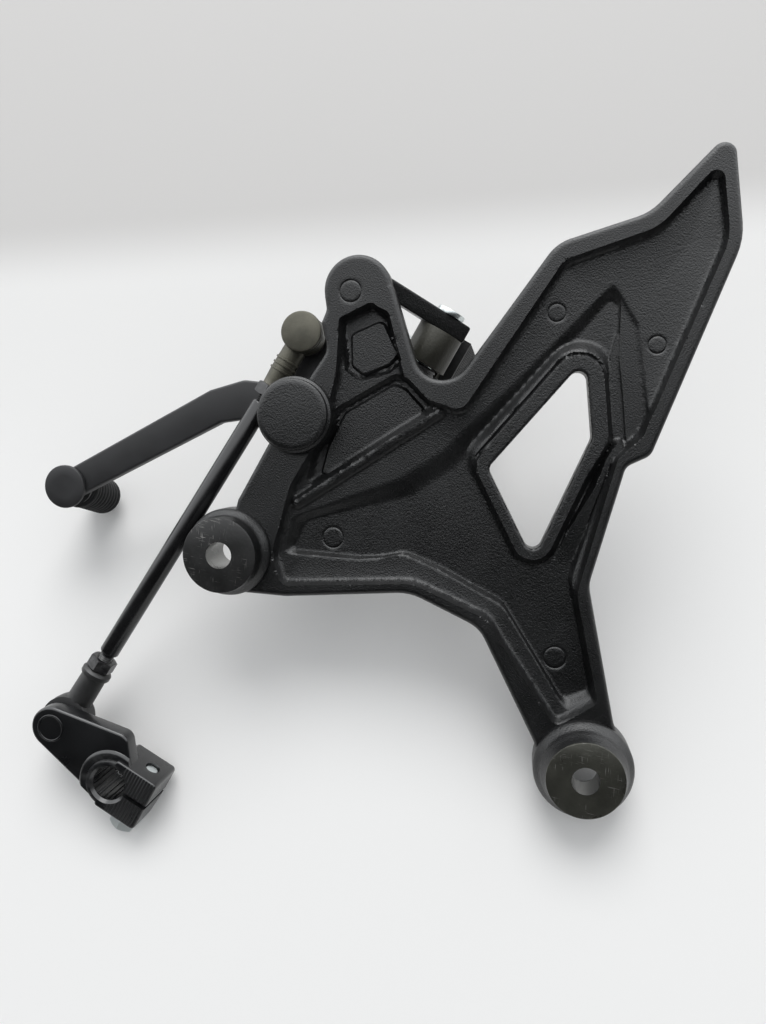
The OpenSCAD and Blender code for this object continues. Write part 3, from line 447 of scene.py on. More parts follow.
def triangles(points, loops):
    """Triangles over the points, inside the first loop and outside the others."""
    edges = []
    start = 0
    for loop in loops:
        count = len(loop)
        edges += [(start + i, start + (i + 1) % count) for i in range(count)]
        start += count
    everything = np.concatenate(list(loops) + [points])
    made = delaunay_2d_cdt([Vector(p) for p in everything], edges, [], 0, 1e-6)
    verts = np.array([(v.x, v.y) for v in made[0]])
    tris = np.array(made[2])
    corners = verts[tris]
    side = corners[:, 1:] - corners[:, :1]
    area = np.abs(side[:, 0, 0] * side[:, 1, 1] - side[:, 0, 1] * side[:, 1, 0])
    region = regions(tris, {(min(e), max(e)) for e in edges})
    keep = np.zeros(len(tris), bool)
    for number in np.unique(region):
        members = np.flatnonzero(region == number)
        if area[members].sum() < 0.01:
            continue
        middle = corners[members[np.argmax(area[members])]].mean(0)[None]
        within = [inside(middle, loop)[0] for loop in loops]
        keep[members] = within[0] and not any(within[1:])
    return verts, tris[keep]


outer = even(PLATE, 0.8)
opening = even(WINDOW, 0.8)
xs = np.arange(PLATE[:, 0].min(), PLATE[:, 0].max(), GRID)
zs = np.arange(PLATE[:, 1].min(), PLATE[:, 1].max(), GRID)
grid = np.array(np.meshgrid(xs, zs)).reshape(2, -1).T
features = [
    along(PLATE, (-0.1, -0.35, -0.8, -1.4, -2.0), 0.9),
    along(WINDOW, (0.1, 0.35, 0.7, 1.1, 4.2, 4.8, 5.4, 6.0, 6.6, 7.2, 8.0), 0.9),
    along(RECESS, (0, -0.3, -0.8, -1.6, -2.5), 0.9),
    along(WELL_LIP, (0.2, -0.3, -0.8), 0.9),
    along(WELL_FLOOR, (0.3, -0.3), 0.9),
    along(WEDGE, (0, -0.4, -1.2), 0.9),
    along(HEAD_POCKET, (0, -0.4, -1.2), 0.9),
    along(WEDGE_PAD, (0, -0.5, -1.1), 0.9),
    along(HEAD_PAD, (0, -0.5, -1.1), 0.9),
]
features += [ring(m, r + d, 64) for m, r in zip(MARKS, MARK_RADII) for d in (-0.6, -0.28, 0, 0.28, 0.6)]
features += [along(line, (-0.4, 0.0, 0.4, 0.8), 0.8) for line in (UPPER_STEP, LOWER_STEP, LEG_WEDGE)]
features.append(even(DIAGONAL_RIB, 0.8, closed=False))
features = spread(np.concatenate(features), 0.22)


def crowded(points, others, spacing):
    """True where a point of the grid lies in a cell that a feature point fills."""
    filled = {tuple(c) for c in np.round(others / spacing).astype(int)}
    cells = np.round(points / spacing).astype(int)
    return np.array([tuple(c) in filled for c in cells])


grid = grid[~crowded(grid, features, 0.7)]
face_points = np.concatenate([features, grid])
rim_gap = signed(face_points, PLATE)
face_points = face_points[rim_gap < -0.08]
window_gap = signed(face_points, WINDOW)
face_points = face_points[window_gap > 0.08]
face_verts, face_tris = triangles(face_points, [outer, opening])
print("face:", len(face_verts), "points", len(face_tris), "triangles")

# %% [markdown]
# The sides and the back close the sheet into one solid. A row of points goes round each
# edge, down the side and over the rounding at the back. The back itself is nearly flat, so
# it only needs large triangles.

# %% Solid plate from the face
BACK_R = 1.8
SIDE_ROWS = 5


def new_mesh(name, points, faces):
    """Mesh object from points in millimetres."""
    mesh = bpy.data.meshes.new(name)
    mesh.from_pydata([tuple(p) for p in np.asarray(points) * MM], [], [tuple(int(i) for i in f) for f in faces])
    mesh.validate()
    made = bpy.data.objects.new(name, mesh)
    bpy.context.scene.collection.objects.link(made)
    return made


def recalc(made):
    """Turns all the faces of a closed mesh outward and returns its open edges."""
    bm = bmesh.new()
    bm.from_mesh(made.data)
    bmesh.ops.recalc_face_normals(bm, faces=bm.faces)
    open_edges = sum(1 for e in bm.edges if len(e.link_faces) != 2)
    bm.to_mesh(made.data)
    bm.free()
    return open_edges


def edge_normals(loop):
    tangent = np.roll(loop, -1, 0) - np.roll(loop, 1, 0)
    tangent /= np.linalg.norm(tangent, axis=1)[:, None]
    return np.c_[tangent[:, 1], -tangent[:, 0]]


def plate_mesh():
    depth = face_depth(face_verts)
    loops = (outer, opening)
    sizes = [len(outer), len(opening)]
    points = [np.c_[face_verts[:, 0], RIM_Y + depth, face_verts[:, 1]]]
    faces = [tuple(t[::-1]) for t in face_tris]
    total = len(face_verts)
    start = 0
    back_loops = []
    for loop, size, outward in zip(loops, sizes, (1, -1)):
        normal = edge_normals(loop) * outward
        previous = np.arange(start, start + size)
        start += size
        angles = np.linspace(0, math.pi / 2, SIDE_ROWS)
        rows = [(BACK_R * (math.cos(a) - 1), BACK_Y - BACK_R * (1 - math.sin(a))) for a in angles]
        for inset, y in rows:
            row = loop + normal * inset
            points.append(np.c_[row[:, 0], np.full(size, y), row[:, 1]])
            here = np.arange(total, total + size)
            total += size
            for i in range(size):
                j = (i + 1) % size
                quad = (previous[i], previous[j], here[j], here[i])
                faces.append(quad if outward > 0 else quad[::-1])
            previous = here
        back_loops.append((row, previous))
    back_verts, back_tris = triangles(np.zeros((0, 2)), [loop for loop, _ in back_loops])
    index = np.concatenate([back_loops[0][1], back_loops[1][1]])
    assert len(back_verts) == len(index)
    faces += [tuple(index[t]) for t in back_tris]
    made = new_mesh("hanger_casting", np.concatenate(points), faces)
    print("plate:", len(made.data.polygons), "faces, open edges:", recalc(made))
    return made


casting = plate_mesh()

# %% [markdown]
# Round work is turned: a profile spun about an axis. One helper makes all of it, the
# bosses of the casting, the ball joints, the rod and the rubbers. The profile is a closed
# line of radius and height, and the axis is any frame in space.

# %% A lathe for round pieces
def axis_frame(origin, along_axis, up=(0, 0, 1)):
    """Matrix whose Z runs along an axis from an origin in millimetres."""
    z = Vector(along_axis).normalized()
    x = Vector(up).cross(z)
    if x.length < 1e-6:
        x = Vector((1, 0, 0)).cross(z)
    x.normalize()
    y = z.cross(x)
    m = Matrix((x, y, z)).transposed().to_4x4()
    m.translation = Vector(origin)
    return m


def arc(cx, cy, radius, a0, a1, count):
    """Points of an arc, with angles in degrees."""
    angles = np.radians(np.linspace(a0, a1, count))
    return [(cx + radius * math.cos(a), cy + radius * math.sin(a)) for a in angles]


def lathe(name, profile, place, steps=72):
    """Closed solid turned from a profile of (radius, height)."""
    points, faces, rows = [], [], []
    for r, h in profile:
        if r < 1e-6:
            rows.append([len(points)] * steps)
            points.append((0, 0, h))
            continue
        rows.append(list(range(len(points), len(points) + steps)))
        for k in range(steps):
            a = 2 * math.pi * k / steps
            points.append((r * math.cos(a), r * math.sin(a), h))
    pairs = list(zip(rows, rows[1:] + rows[:1]))
    if profile[0][0] < 1e-6 and profile[-1][0] < 1e-6:
        pairs = pairs[:-1]
    for a, b in pairs:
        for k in range(steps):
            n = (k + 1) % steps
            corners = []
            for v in (a[k], a[n], b[n], b[k]):
                if v not in corners:
                    corners.append(v)
            if len(corners) > 2:
                faces.append(corners)
    placed = [place @ Vector(p) for p in points]
    made = new_mesh(name, np.array([tuple(p) for p in placed]), faces)
    recalc(made)
    return made


def outboard(x, z, y=0.0):
    """Frame at a point, with its axis along +Y."""
    return axis_frame((x, y, z), (0, 1, 0))


# %% [markdown]
# Bosses and pads join the plate, and bores, bolt seats and the threaded hole are cut last,
# with Blender's manifold boolean. Cutting last keeps every bore a clean circle, whatever
# the relief round it does.

# %% Join and cut
def combine(target, tools, operation):
    """Applies a boolean of all the tools to the target and removes them."""
    for tool in tools:
        step = target.modifiers.new("combine", "BOOLEAN")
        step.operation = operation
        step.solver = "MANIFOLD"
        step.object = tool
    bpy.context.view_layer.update()
    graph = bpy.context.evaluated_depsgraph_get()
    done = bpy.data.meshes.new_from_object(target.evaluated_get(graph))
    target.modifiers.clear()
    target.data = done
    for tool in tools:
        bpy.data.objects.remove(tool)
    return target


FACE_EDGE = 0.5


def boss(name, centre, face, radius, flare):
    """Mount boss: a machined face, a side that widens from it, and a cone into the plate."""
    side = RIM_Y - flare - 3.5
    foot = RIM_Y - flare - 3
    profile = [(0, 0), (face - FACE_EDGE, 0), (face - 0.1, FACE_EDGE * 0.4), (face, FACE_EDGE)]
    profile += [(face + (radius - face) * t ** 1.5, FACE_EDGE + side * t) for t in (0.3, 0.6, 0.8, 1)]
    profile += [(radius + (flare - 0.05) * ease(t), foot + (flare + 2.2) * t) for t in np.linspace(0.15, 0.98, 8)]
    profile += [(radius + flare - 0.06, BACK_Y - 2.6)]
    profile += [(radius + flare - 0.8, BACK_Y - 0.4), (radius + flare - 2, BACK_Y), (0, BACK_Y)]
    return lathe(name, profile, outboard(centre[0], centre[2]), 96)


def pivot_pad():
    """Round pad over the pivot, with the pivot boss on the other side."""
    profile = [(0, PAD_Y), (PAD_R - 2.4, PAD_Y), (PAD_R - 0.9, PAD_Y + 0.15)]
    profile += [(PAD_R - 0.25, PAD_Y + 0.55), (PAD_R, PAD_Y + 1.2), (PAD_R, RIM_Y - 4.5)]
    profile += [(PAD_R + 0.9, RIM_Y - 3.9), (PAD_R + 1.1, RIM_Y - 3.0), (PAD_R + 1.1, RIM_Y + 1)]
    profile += [(12.0, RIM_Y + 3), (12.0, 25.4), (11.4, 26.0), (0, 26.0)]
    return lathe("pad", profile, outboard(*PIVOT), 96)


def lug(name, x0, x1, root0, root1):
    """Lug of the footpeg clevis: a round eye that widens into the plate."""
    eye_y, eye_z = PEG_EYE
    eye = [(eye_y + LUG_R * math.cos(a), eye_z + LUG_R * math.sin(a))
           for a in np.linspace(-0.5 * math.pi, 0.5 * math.pi, 25)]
    line = [(BACK_Y - 3, root0)] + eye + [(BACK_Y - 3, root1)]
    corners = []
    for x, inset in ((x0, 0.8), (x0 + 0.25, 0.25), (x0 + 0.8, 0), (x1 - 0.8, 0), (x1 - 0.25, 0.25), (x1, 0.8)):
        middle = np.array([eye_y, eye_z])
        for y, z in line:
            away = np.array([y, z]) - middle
            short = 1 - inset / np.linalg.norm(away)
            corners.append((x, *(middle + away * short)))
    n = len(line)
    faces = [tuple(range(n)), tuple(range(5 * n, 6 * n))[::-1]]
    for row in range(5):
        for k in range(n):
            a, b = row * n + k, row * n + (k + 1) % n
            faces.append((a, b, b + n, a + n))
    made = new_mesh(name, np.array(corners), faces)
    recalc(made)
    return made


def drill(centre, y0, y1, r0, r1=None):
    """Round cutter along Y."""
    r1 = r0 if r1 is None else r1
    return lathe("drill", [(0, y0), (r0, y0), (r1, y1), (0, y1)], outboard(*centre), 96)


PEG_EYE = (38.0, 27.88)
PIN_R = 4.06
LUG_R = 10.0
LUGS = ((-98.16, -91.16, 3.28, 24.6), (-126.96, -119.96, -10.66, 3.28))
LOWER_BORE_L = 19.5
UPPER_BORE_L = 12.4
SEAT_R = 10.0
THREAD_R = 4.85
mount_lower = (lower_bore[0], lower_bore[2])
mount_upper = (upper_bore[0], upper_bore[2])
solids = [
    boss("boss_lower", lower_bore, LOWER_BOSS_R, LOWER_BOSS_R + 0.05, FLARE),
    boss("boss_upper", upper_bore, UPPER_FACE_R, UPPER_BOSS_R, FLARE),
    pivot_pad(),
] + [lug("lug", *ends) for ends in LUGS]
casting = combine(casting, solids, "UNION")
cuts = []
for centre, length in ((mount_lower, LOWER_BORE_L), (mount_upper, UPPER_BORE_L)):
    cuts.append(drill(centre, -1, BACK_Y + 1, BORE_R))
    cuts.append(drill(centre, length, BACK_Y + 1, SEAT_R))
    cuts.append(drill(centre, length - 0.6, length + 1, BORE_R, BORE_R + 1.6))
cuts.append(drill(PIVOT, 11, 27, THREAD_R))
pin_line = axis_frame((-128, *PEG_EYE), (1, 0, 0))
cuts.append(lathe("drill", [(0, 0), (PIN_R, 0), (PIN_R, 38), (0, 38)], pin_line, 48))
casting = combine(casting, cuts, "DIFFERENCE")
print("casting:", len(casting.data.polygons), "faces")

# %% [markdown]
# The lever is steel bar, forged flat and bent sideways, with rounded edges all round. Its
# outline is the belt that runs round a chain of circles: the ball end, the hub, two gentle
# bends and the toe. The arm is made the same way.

# %% Flat pieces with rounded edges
def belt(circles, fillet=3.0, closed=False):
    """Closed line round a chain of circles, each given as X, Z and radius."""
    c = np.array(circles, float)
    path = c if closed else np.concatenate([c, c[-2:0:-1]])
    normals = []
    for p, q in zip(path, np.roll(path, -1, 0)):
        gap = q[:2] - p[:2]
        reach = np.linalg.norm(gap)
        u = gap / reach
        lean = (p[2] - q[2]) / reach
        normals.append(lean * u + math.sqrt(1 - lean * lean) * np.array([u[1], -u[0]]))
    points = []
    for i, (x, z, r) in enumerate(path):
        n0, n1 = normals[i - 1], normals[i]
        end = not closed and i in (0, len(c) - 1)
        sweep = math.atan2(cross(n0, n1), n0 @ n1)
        if end:
            sweep %= 2 * math.pi
        if sweep >= 0:
            a0 = math.atan2(n0[1], n0[0])
            count = max(2, int(sweep / math.radians(6)) + 1)
            for k in range(count + 1):
                a = a0 + sweep * k / count
                points.append([x + r * math.cos(a), z + r * math.sin(a)])
            continue
        mitre = (n0 + n1) / (1 + n0 @ n1)
        centre = np.array([x, z]) + (r + fillet) * mitre
        a0 = math.atan2(-n0[1], -n0[0])
        count = max(2, int(-sweep / math.radians(6)) + 1)
        for k in range(count + 1):
            a = a0 + sweep * k / count
            points.append(centre + fillet * np.array([math.cos(a), math.sin(a)]))
    return np.array(points)


def slab(name, line, y0, y1, edge0, edge1, steps=4):
    """Flat solid between two levels, with rounded edges of two radii."""
    line = even(line, 1.4)
    normal = edge_normals(line)
    rows = []
    for a in np.linspace(math.pi / 2, 0, steps + 1):
        rows.append((edge0 * (math.cos(a) - 1), y0 + edge0 * (1 - math.sin(a))))
    for a in np.linspace(0, math.pi / 2, steps + 1):
        rows.append((edge1 * (math.cos(a) - 1), y1 - edge1 * (1 - math.sin(a))))
    points, faces = [], []
    n = len(line)
    for inset, y in rows:
        row = line + normal * inset
        points.append(np.c_[row[:, 0], np.full(n, y), row[:, 1]])
    for j in range(len(rows) - 1):
        for k in range(n):
            a, b = j * n + k, j * n + (k + 1) % n
            faces.append((a, b, b + n, a + n))
    for j, flip in ((0, 1), (len(rows) - 1, -1)):
        _, tris = triangles(np.zeros((0, 2)), [line + normal * rows[j][0]])
        faces += [tuple(j * n + t[::flip]) for t in tris]
    made = new_mesh(name, np.concatenate(points), faces)
    recalc(made)
    return made


LEVER_Y = 32.0
LEVER_T = 6.0
HUB_IN = 27.24
HUB_OUT = 42.24
HUB_R = 12.5
TOE = np.array([0.122, -0.517]) * SPAN
BEND = np.array([-0.334, -0.186]) * SPAN
ELBOW = np.array([-0.28, -0.248]) * SPAN
CUP_R = 8.3
lever_line = belt([
    (*UPPER_BALL, CUP_R * 0.96), (*PIVOT, HUB_R), (*BEND, 8.2), (*ELBOW, 7.3), (*TOE, 6.4),
], 4.0)
lever = slab("lever_bar", lever_line, LEVER_Y, LEVER_Y + LEVER_T, 1.0, 1.0)
hub_profile = [
    (0, HUB_IN), (11.9, HUB_IN), (HUB_R, HUB_IN + 0.6),
    (HUB_R, HUB_OUT - 0.6), (11.9, HUB_OUT), (0, HUB_OUT),
]
lever = combine(lever, [lathe("hub", hub_profile, outboard(*PIVOT), 96)], "UNION")
lever = combine(lever, [
    drill(PIVOT, HUB_IN - 1, HUB_OUT + 1, 7.56),
    drill(UPPER_BALL, LEVER_Y - 1, LEVER_Y + LEVER_T + 1, 3.05),
    drill(TOE, LEVER_Y - 1, LEVER_Y + LEVER_T + 1, 4.0),
], "DIFFERENCE")
print("lever:", len(lever.data.polygons), "faces")

# %% [markdown]
# The toe end of the lever carries a riveted stub: a flat disc on the side of the frame,
# and a rubber sleeve with ribs on the other side, where the boot lifts it. Rubber is
# moulded in halves round the stub, so the ribs are soft rings.

# %% Toe disc, stub and ribbed rubber
SPLAY = math.radians(13.5)
DISC_R = 9.58
STUB_R = 4.09
disc_profile = [(0, 30.02), (DISC_R * 0.5, 29.96), (DISC_R - 0.7, 29.9)]
disc_profile += [(DISC_R - 0.2, 30.1), (DISC_R, 30.5), (DISC_R, 31.6), (DISC_R - 0.4, 31.98), (0, 31.98)]
toe_stub = lathe("toe_disc", disc_profile, outboard(*TOE), 96)
collar_profile = [(0, 31.5), (3.98, 31.5), (3.98, 38.02), (8.6, 38.02), (8.3, 39.7), (7.8, 40.1), (0, 40.1)]
collar = lathe("collar", collar_profile, outboard(*TOE), 96)
toe_frame = axis_frame((TOE[0], 38.0, TOE[1]), (math.sin(SPLAY), math.cos(SPLAY), 0))
stem = lathe("stem", [(0, 1.4), (STUB_R, 1.4), (STUB_R, 31.3), (3.5, 31.9), (0, 31.9)], toe_frame, 64)
toe_stub = combine(toe_stub, [collar, stem], "UNION")

RUBBER_L = 34.0
RUBBER_R = 9.0
RUBBER_START = 4.8
ribs = 9
pitch = (RUBBER_L - RUBBER_START) / ribs
rubber_profile = [(4.15, RUBBER_START), (7.9, RUBBER_START)]
for k in range(ribs):
    h = RUBBER_START + (k + 0.1) * pitch
    top = RUBBER_R * (1.03 if k == 0 else 0.995)
    rubber_profile += [(RUBBER_R * 0.9, h), (top - 0.35, h + 0.12), (top, h + 0.55)]
    rubber_profile += [(top, h + pitch * 0.6 - 0.55), (top - 0.35, h + pitch * 0.6 - 0.12)]
    rubber_profile += [(RUBBER_R * 0.9, h + pitch * 0.6), (RUBBER_R * 0.89, h + pitch * 0.8)]
rubber_profile += [(8.0, RUBBER_L + 0.1), (7.2, RUBBER_L + 1.1), (6.3, RUBBER_L + 1.58)]
rubber_profile += [(0, RUBBER_L + 1.6), (0, 32.4), (4.15, 32.4)]
toe_rubber = lathe("toe_sleeve", rubber_profile, toe_frame, 96)
print("toe stub and rubber:", len(toe_stub.data.polygons) + len(toe_rubber.data.polygons), "faces")

# %% [markdown]
# The rod hangs between two ball joints. Its frame leans a little, because the balls sit at
# different levels. Each joint is a crimped cup on a threaded shank, closed on one side and
# sealed by a boot on the other.

# %% Rod and ball joints
ball_a = Vector((UPPER_BALL[0], 25.0, UPPER_BALL[1]))
ball_b = Vector((LOWER_BALL[0], 9.0, LOWER_BALL[1]))
rod_x = (ball_b - ball_a).normalized()
rod_y = (Vector((0, 1, 0)) - rod_x * rod_x.y).normalized()
ROD_SPAN = (ball_b - ball_a).length
SHANK_R = 4.7
SHANK_L = 25.0
MOUTH = 4.72
CUP_TOP = -6.78
NUT_T = 5.0
NUT_AF = 10.0
NUT_BORE_R = 3.05
LOWER_CUP_R = 10.0
ROD_R = 4.0
THREAD_MAJOR = 2.94


def socket_points():
    """Half of the ball's seat inside a cup, from its mouth to its axis."""
    seat = [(5.06 * math.cos(a), 5.06 * math.sin(a)) for a in np.radians(np.linspace(20, -90, 12))]
    return [(5.4, MOUTH)] + seat


def cup(name, centre, axis, radius, domed):
    """Closed cup round a ball, with its mouth along the axis."""
    place = axis_frame(centre, axis)
    if domed:
        top = [(0, CUP_TOP)] + [(x, CUP_TOP + 4.6 + y) for x, y in arc(radius - 4.6, 0, 4.6, -90, 0, 9)]
    else:
        top = [(0, CUP_TOP), (radius - 1.0, CUP_TOP), (radius - 0.25, CUP_TOP + 0.25)]
        top += [(radius, CUP_TOP + 0.9), (radius, CUP_TOP + 2.4), (radius - 0.22, CUP_TOP + 2.6)]
        top += [(radius - 0.22, CUP_TOP + 3.0), (radius, CUP_TOP + 3.2)]
    side = [(radius, MOUTH - 3.4), (radius * 0.94 + 0.1, MOUTH - 0.5), (radius * 0.94 - 0.2, MOUTH)]
    return lathe(name, top + side + socket_points(), place, 96)


def shank(name, centre, direction, rings, flange):
    """Threaded shank of a joint, with crimp rings or a flange at its end."""
    place = axis_frame(centre, direction)
    line = [(0, 5.3), (SHANK_R + (0.9 if flange else 0), 5.3)]
    for h in rings:
        line += [(SHANK_R, h), (SHANK_R * 1.09, h + 0.2), (SHANK_R * 1.1, h + 0.55)]
        line += [(SHANK_R * 1.09, h + 0.9), (SHANK_R, h + 1.1)]
    if flange:
        line += [(SHANK_R + 0.6, SHANK_L - 3.9), (6.0, SHANK_L - 3.6), (6.3, SHANK_L - 3.1)]
        line += [(6.3, SHANK_L - 1.5), (5.7, SHANK_L - 0.7), (4.8, SHANK_L - 0.25)]
    line += [(SHANK_R - 0.4, SHANK_L), (3.1, SHANK_L), (3.1, 20), (0, 20)]
    return lathe(name, line, place, 72)


def boot(name, centre, axis, radius):
    """Rubber seal on the mouth of a cup."""
    h = 1.34
    y0 = MOUTH + 0.02
    line = [(radius * 0.72, y0), (radius * 0.92, y0), (radius * 0.96, y0 + h * 0.2)]
    line += [(radius * 0.97, y0 + h * 0.4), (radius * 0.85, y0 + h * 0.72), (6.1, y0 + h * 0.9)]
    line += [(6.0, y0 + h), (5.3, y0 + h), (5.25, y0 + h * 0.7), (radius * 0.7, y0 + h * 0.4)]
    return lathe(name, line, axis_frame(centre, axis), 96)


def hex_prism(name, place, across, h0, h1):
    """Hexagonal prism along an axis."""
    r = across / math.sqrt(3)
    corners = [(r * math.cos(a), r * math.sin(a)) for a in np.arange(6) * math.pi / 3]
    points = [place @ Vector((x, y, h)) for h in (h0, h1) for x, y in corners]
    faces = [tuple(range(6)), tuple(range(6, 12))]
    faces += [(k, (k + 1) % 6, 6 + (k + 1) % 6, 6 + k) for k in range(6)]
    made = new_mesh(name, np.array([tuple(p) for p in points]), faces)
    recalc(made)
    return made


def nut(name, place, across, height, bore, both=True):
    """Hexagonal nut with chamfered corners and a bore."""
    r = across / math.sqrt(3)
    low = 0.55 if both else 0
    flat_r = across / 2 - 0.1
    barrel = [(0, 0), (flat_r if both else r + 0.2, 0), (r + 0.2, low + 0.001)]
    barrel += [(r + 0.2, height - 0.55), (flat_r, height), (0, height)]
    made = hex_prism(name, place, across, 0, height)
    made = combine(made, [lathe("barrel", barrel, place, 72)], "INTERSECT")
    if bore:
        mouth = bore + 0.6
        hole = [(0, -1), (mouth, -1), (mouth, 0), (bore, 0.5)]
        hole += [(bore, height - 0.5), (mouth, height), (mouth, height + 1), (0, height + 1)]
        made = combine(made, [lathe("hole", hole, place, 48)], "DIFFERENCE")
    return made


upper_housing = cup("joint_cup_upper", ball_a, rod_y, CUP_R, False)
upper_housing = combine(upper_housing, [shank("shank", ball_a, rod_x, (12.4, 14.8, 17.2), False)], "UNION")
lower_housing = cup("joint_cup_lower", ball_b, -rod_y, LOWER_CUP_R, True)
lower_housing = combine(lower_housing, [shank("shank", ball_b, -rod_x, (), True)], "UNION")
upper_boot = boot("boot_upper", ball_a, rod_y, CUP_R)
lower_boot = boot("boot_lower", ball_b, -rod_y, LOWER_CUP_R)
upper_lock_at = axis_frame(ball_a + rod_x * (SHANK_L + 0.02), rod_x)
upper_lock = nut("lock_nut_upper", upper_lock_at, NUT_AF, NUT_T, NUT_BORE_R)
lower_lock_at = axis_frame(ball_b - rod_x * (SHANK_L + 0.02), -rod_x)
lower_lock = nut("lock_nut_lower", lower_lock_at, NUT_AF, NUT_T, NUT_BORE_R)
upper_nut_at = axis_frame((UPPER_BALL[0], 38.02, UPPER_BALL[1]), (0, 1, 0))
upper_nut = nut("stud_nut", upper_nut_at, NUT_AF, NUT_T, NUT_BORE_R)


def rod_profile():
    """Bar with threaded ends, turned down and grooved at a fine pitch."""
    start = SHANK_L + NUT_T + 2.6
    thread_from = SHANK_L - 8.6
    left = [(0, thread_from)]
    h = thread_from
    while h < start:
        left += [(THREAD_MAJOR - 0.42, h), (THREAD_MAJOR, h + 0.35)]
        h += 0.8
    left += [(THREAD_MAJOR - 0.3, start - 0.1), (ROD_R - 1, start), (ROD_R - 0.3, start + 0.5), (ROD_R, start + 1.1)]
    right = [(r, ROD_SPAN - h) for r, h in reversed(left)]
    return left + right


shift_rod = lathe("rod_bar", rod_profile(), axis_frame(ball_a, rod_x), 64)
print("rod and joints made, rod span", round(ROD_SPAN, 1))

# %% [markdown]
# The arm is a forging: a flat web with a round end, which steps up to a split clamp. The
# clamp is broached with splines and drawn together by a flanged bolt across its slit.

# %% Shift arm and pinch bolt
ARM_Y = -5.0
ARM_T = 7.0
CLAMP_IN = -7.1
CLAMP_OUT = 11.9
CLAMP_R = 10.0
BLOCK_HALF = 11.0
BLOCK_REACH = 18.0
SPLINE_R = 6.5
SPLINE_H = 0.5
TEETH = 20
SLIT = 1.8
BOLT_Y = 2.4
BOLT_Z = SHAFT[1] + 11.0
shoulder = (SHAFT[0] - 15.84, SHAFT[1] - 5.0, 4.5)


def prism(name, line, y0, y1):
    """Plain flat solid between two levels."""
    n = len(line)
    points = np.concatenate([np.c_[line[:, 0], np.full(n, y), line[:, 1]] for y in (y0, y1)])
    faces = [tuple(range(n)), tuple(range(n, 2 * n))]
    faces += [(k, (k + 1) % n, n + (k + 1) % n, n + k) for k in range(n)]
    made = new_mesh(name, points, faces)
    recalc(made)
    return made


def clamp_steps():
    """Clamp barrel and the curved step at its foot."""
    step = [(0, ARM_Y + 1), (13.6, ARM_Y + 1), (13.6, ARM_Y - 0.1)]
    step += [(12.9, ARM_Y - 0.75), (12.2, ARM_Y - 0.9), (0, ARM_Y - 0.9)]
    barrel = [(0, CLAMP_IN), (CLAMP_R - 0.9, CLAMP_IN), (CLAMP_R - 0.25, CLAMP_IN + 0.25)]
    barrel += [(CLAMP_R, CLAMP_IN + 0.9), (CLAMP_R, CLAMP_OUT - 0.6), (CLAMP_R - 0.6, CLAMP_OUT), (0, CLAMP_OUT)]
    made = lathe("step", step, outboard(*SHAFT), 96)
    keep_line = belt([(*SHAFT, 9.9), (*shoulder[:2], 4.2), (*LOWER_BALL, 8.4)], closed=True)
    keep = slab("keep", keep_line, ARM_Y - 3, ARM_Y + 2, 0.3, 0.3)
    made = combine(made, [keep], "INTERSECT")
    return [made, lathe("barrel", barrel, outboard(*SHAFT), 96)]


def splines():
    """Cutter for the splined bore."""
    line = []
    for k in range(TEETH):
        for share, r in ((0, SPLINE_R), (0.28, SPLINE_R), (0.4, SPLINE_R + SPLINE_H), (0.88, SPLINE_R + SPLINE_H)):
            a = 2 * math.pi * (k + share) / TEETH
            line.append((SHAFT[0] + r * math.cos(a), SHAFT[1] + r * math.sin(a)))
    return prism("splines", np.array(line), CLAMP_IN - 1, CLAMP_OUT + 1)


arm_line = belt([(*SHAFT, CLAMP_R), shoulder, (*LOWER_BALL, 8.7)], closed=True)
arm = slab("arm_web", arm_line, ARM_Y, ARM_Y + ARM_T, 1.1, 0.8)
x, z = SHAFT
block_line = smooth(np.array([
    [x - BLOCK_HALF, z - 1.5, 1.4], [x + BLOCK_HALF, z - 1.5, 1.4],
    [x + BLOCK_HALF, z + BLOCK_REACH, 1.8], [x - BLOCK_HALF, z + BLOCK_REACH, 1.8],
]))
block = slab("block", block_line, CLAMP_IN, CLAMP_OUT, 0.7, 0.7)
ring_profile = [
    (4.75, ARM_Y + 0.3), (4.85, ARM_Y - 0.2), (5.1, ARM_Y - 0.35),
    (5.45, ARM_Y - 0.35), (5.7, ARM_Y - 0.2), (5.8, ARM_Y + 0.3),
]
ring_piece = lathe("ring", ring_profile, outboard(*LOWER_BALL), 96)
arm = combine(arm, clamp_steps() + [block, ring_piece], "UNION")
slit_line = np.array([[x - SLIT / 2, z], [x + SLIT / 2, z], [x + SLIT / 2, z + 20], [x - SLIT / 2, z + 20]])
bolt_axis = axis_frame((x - 12, BOLT_Y, BOLT_Z), (1, 0, 0))
lead_in = [(0, CLAMP_IN - 1), (8.1, CLAMP_IN - 1), (8.1, CLAMP_IN), (7.0, CLAMP_IN + 1.1), (0, CLAMP_IN + 1.1)]
arm = combine(arm, [
    splines(),
    lathe("lead_in", lead_in, outboard(*SHAFT), 96),
    prism("slit", slit_line, CLAMP_IN - 1, CLAMP_OUT + 1),
    lathe("bolt_hole", [(0, 0), (3.06, 0), (3.06, 24), (0, 24)], bolt_axis, 48),
], "DIFFERENCE")
head_place = axis_frame((x + BLOCK_HALF + 1.24, BOLT_Y, BOLT_Z), (1, 0, 0))
flange = [(0, 0), (6.5, 0), (6.45, 0.3), (5.9, 1.2), (4.2, 1.9), (0, 1.9)]
pinch_bolt = nut("clamp_bolt", head_place, NUT_AF, 5.38, None, both=False)
shaft_line = [(0, -22.3), (2.4, -22.3), (3.0, -21.7), (3.0, 0.5), (0, 0.5)]
pinch_bolt = combine(pinch_bolt, [
    lathe("flange", flange, head_place, 72),
    lathe("thread", shaft_line, head_place, 48),
], "UNION")
print("arm:", len(arm.data.polygons), "faces")
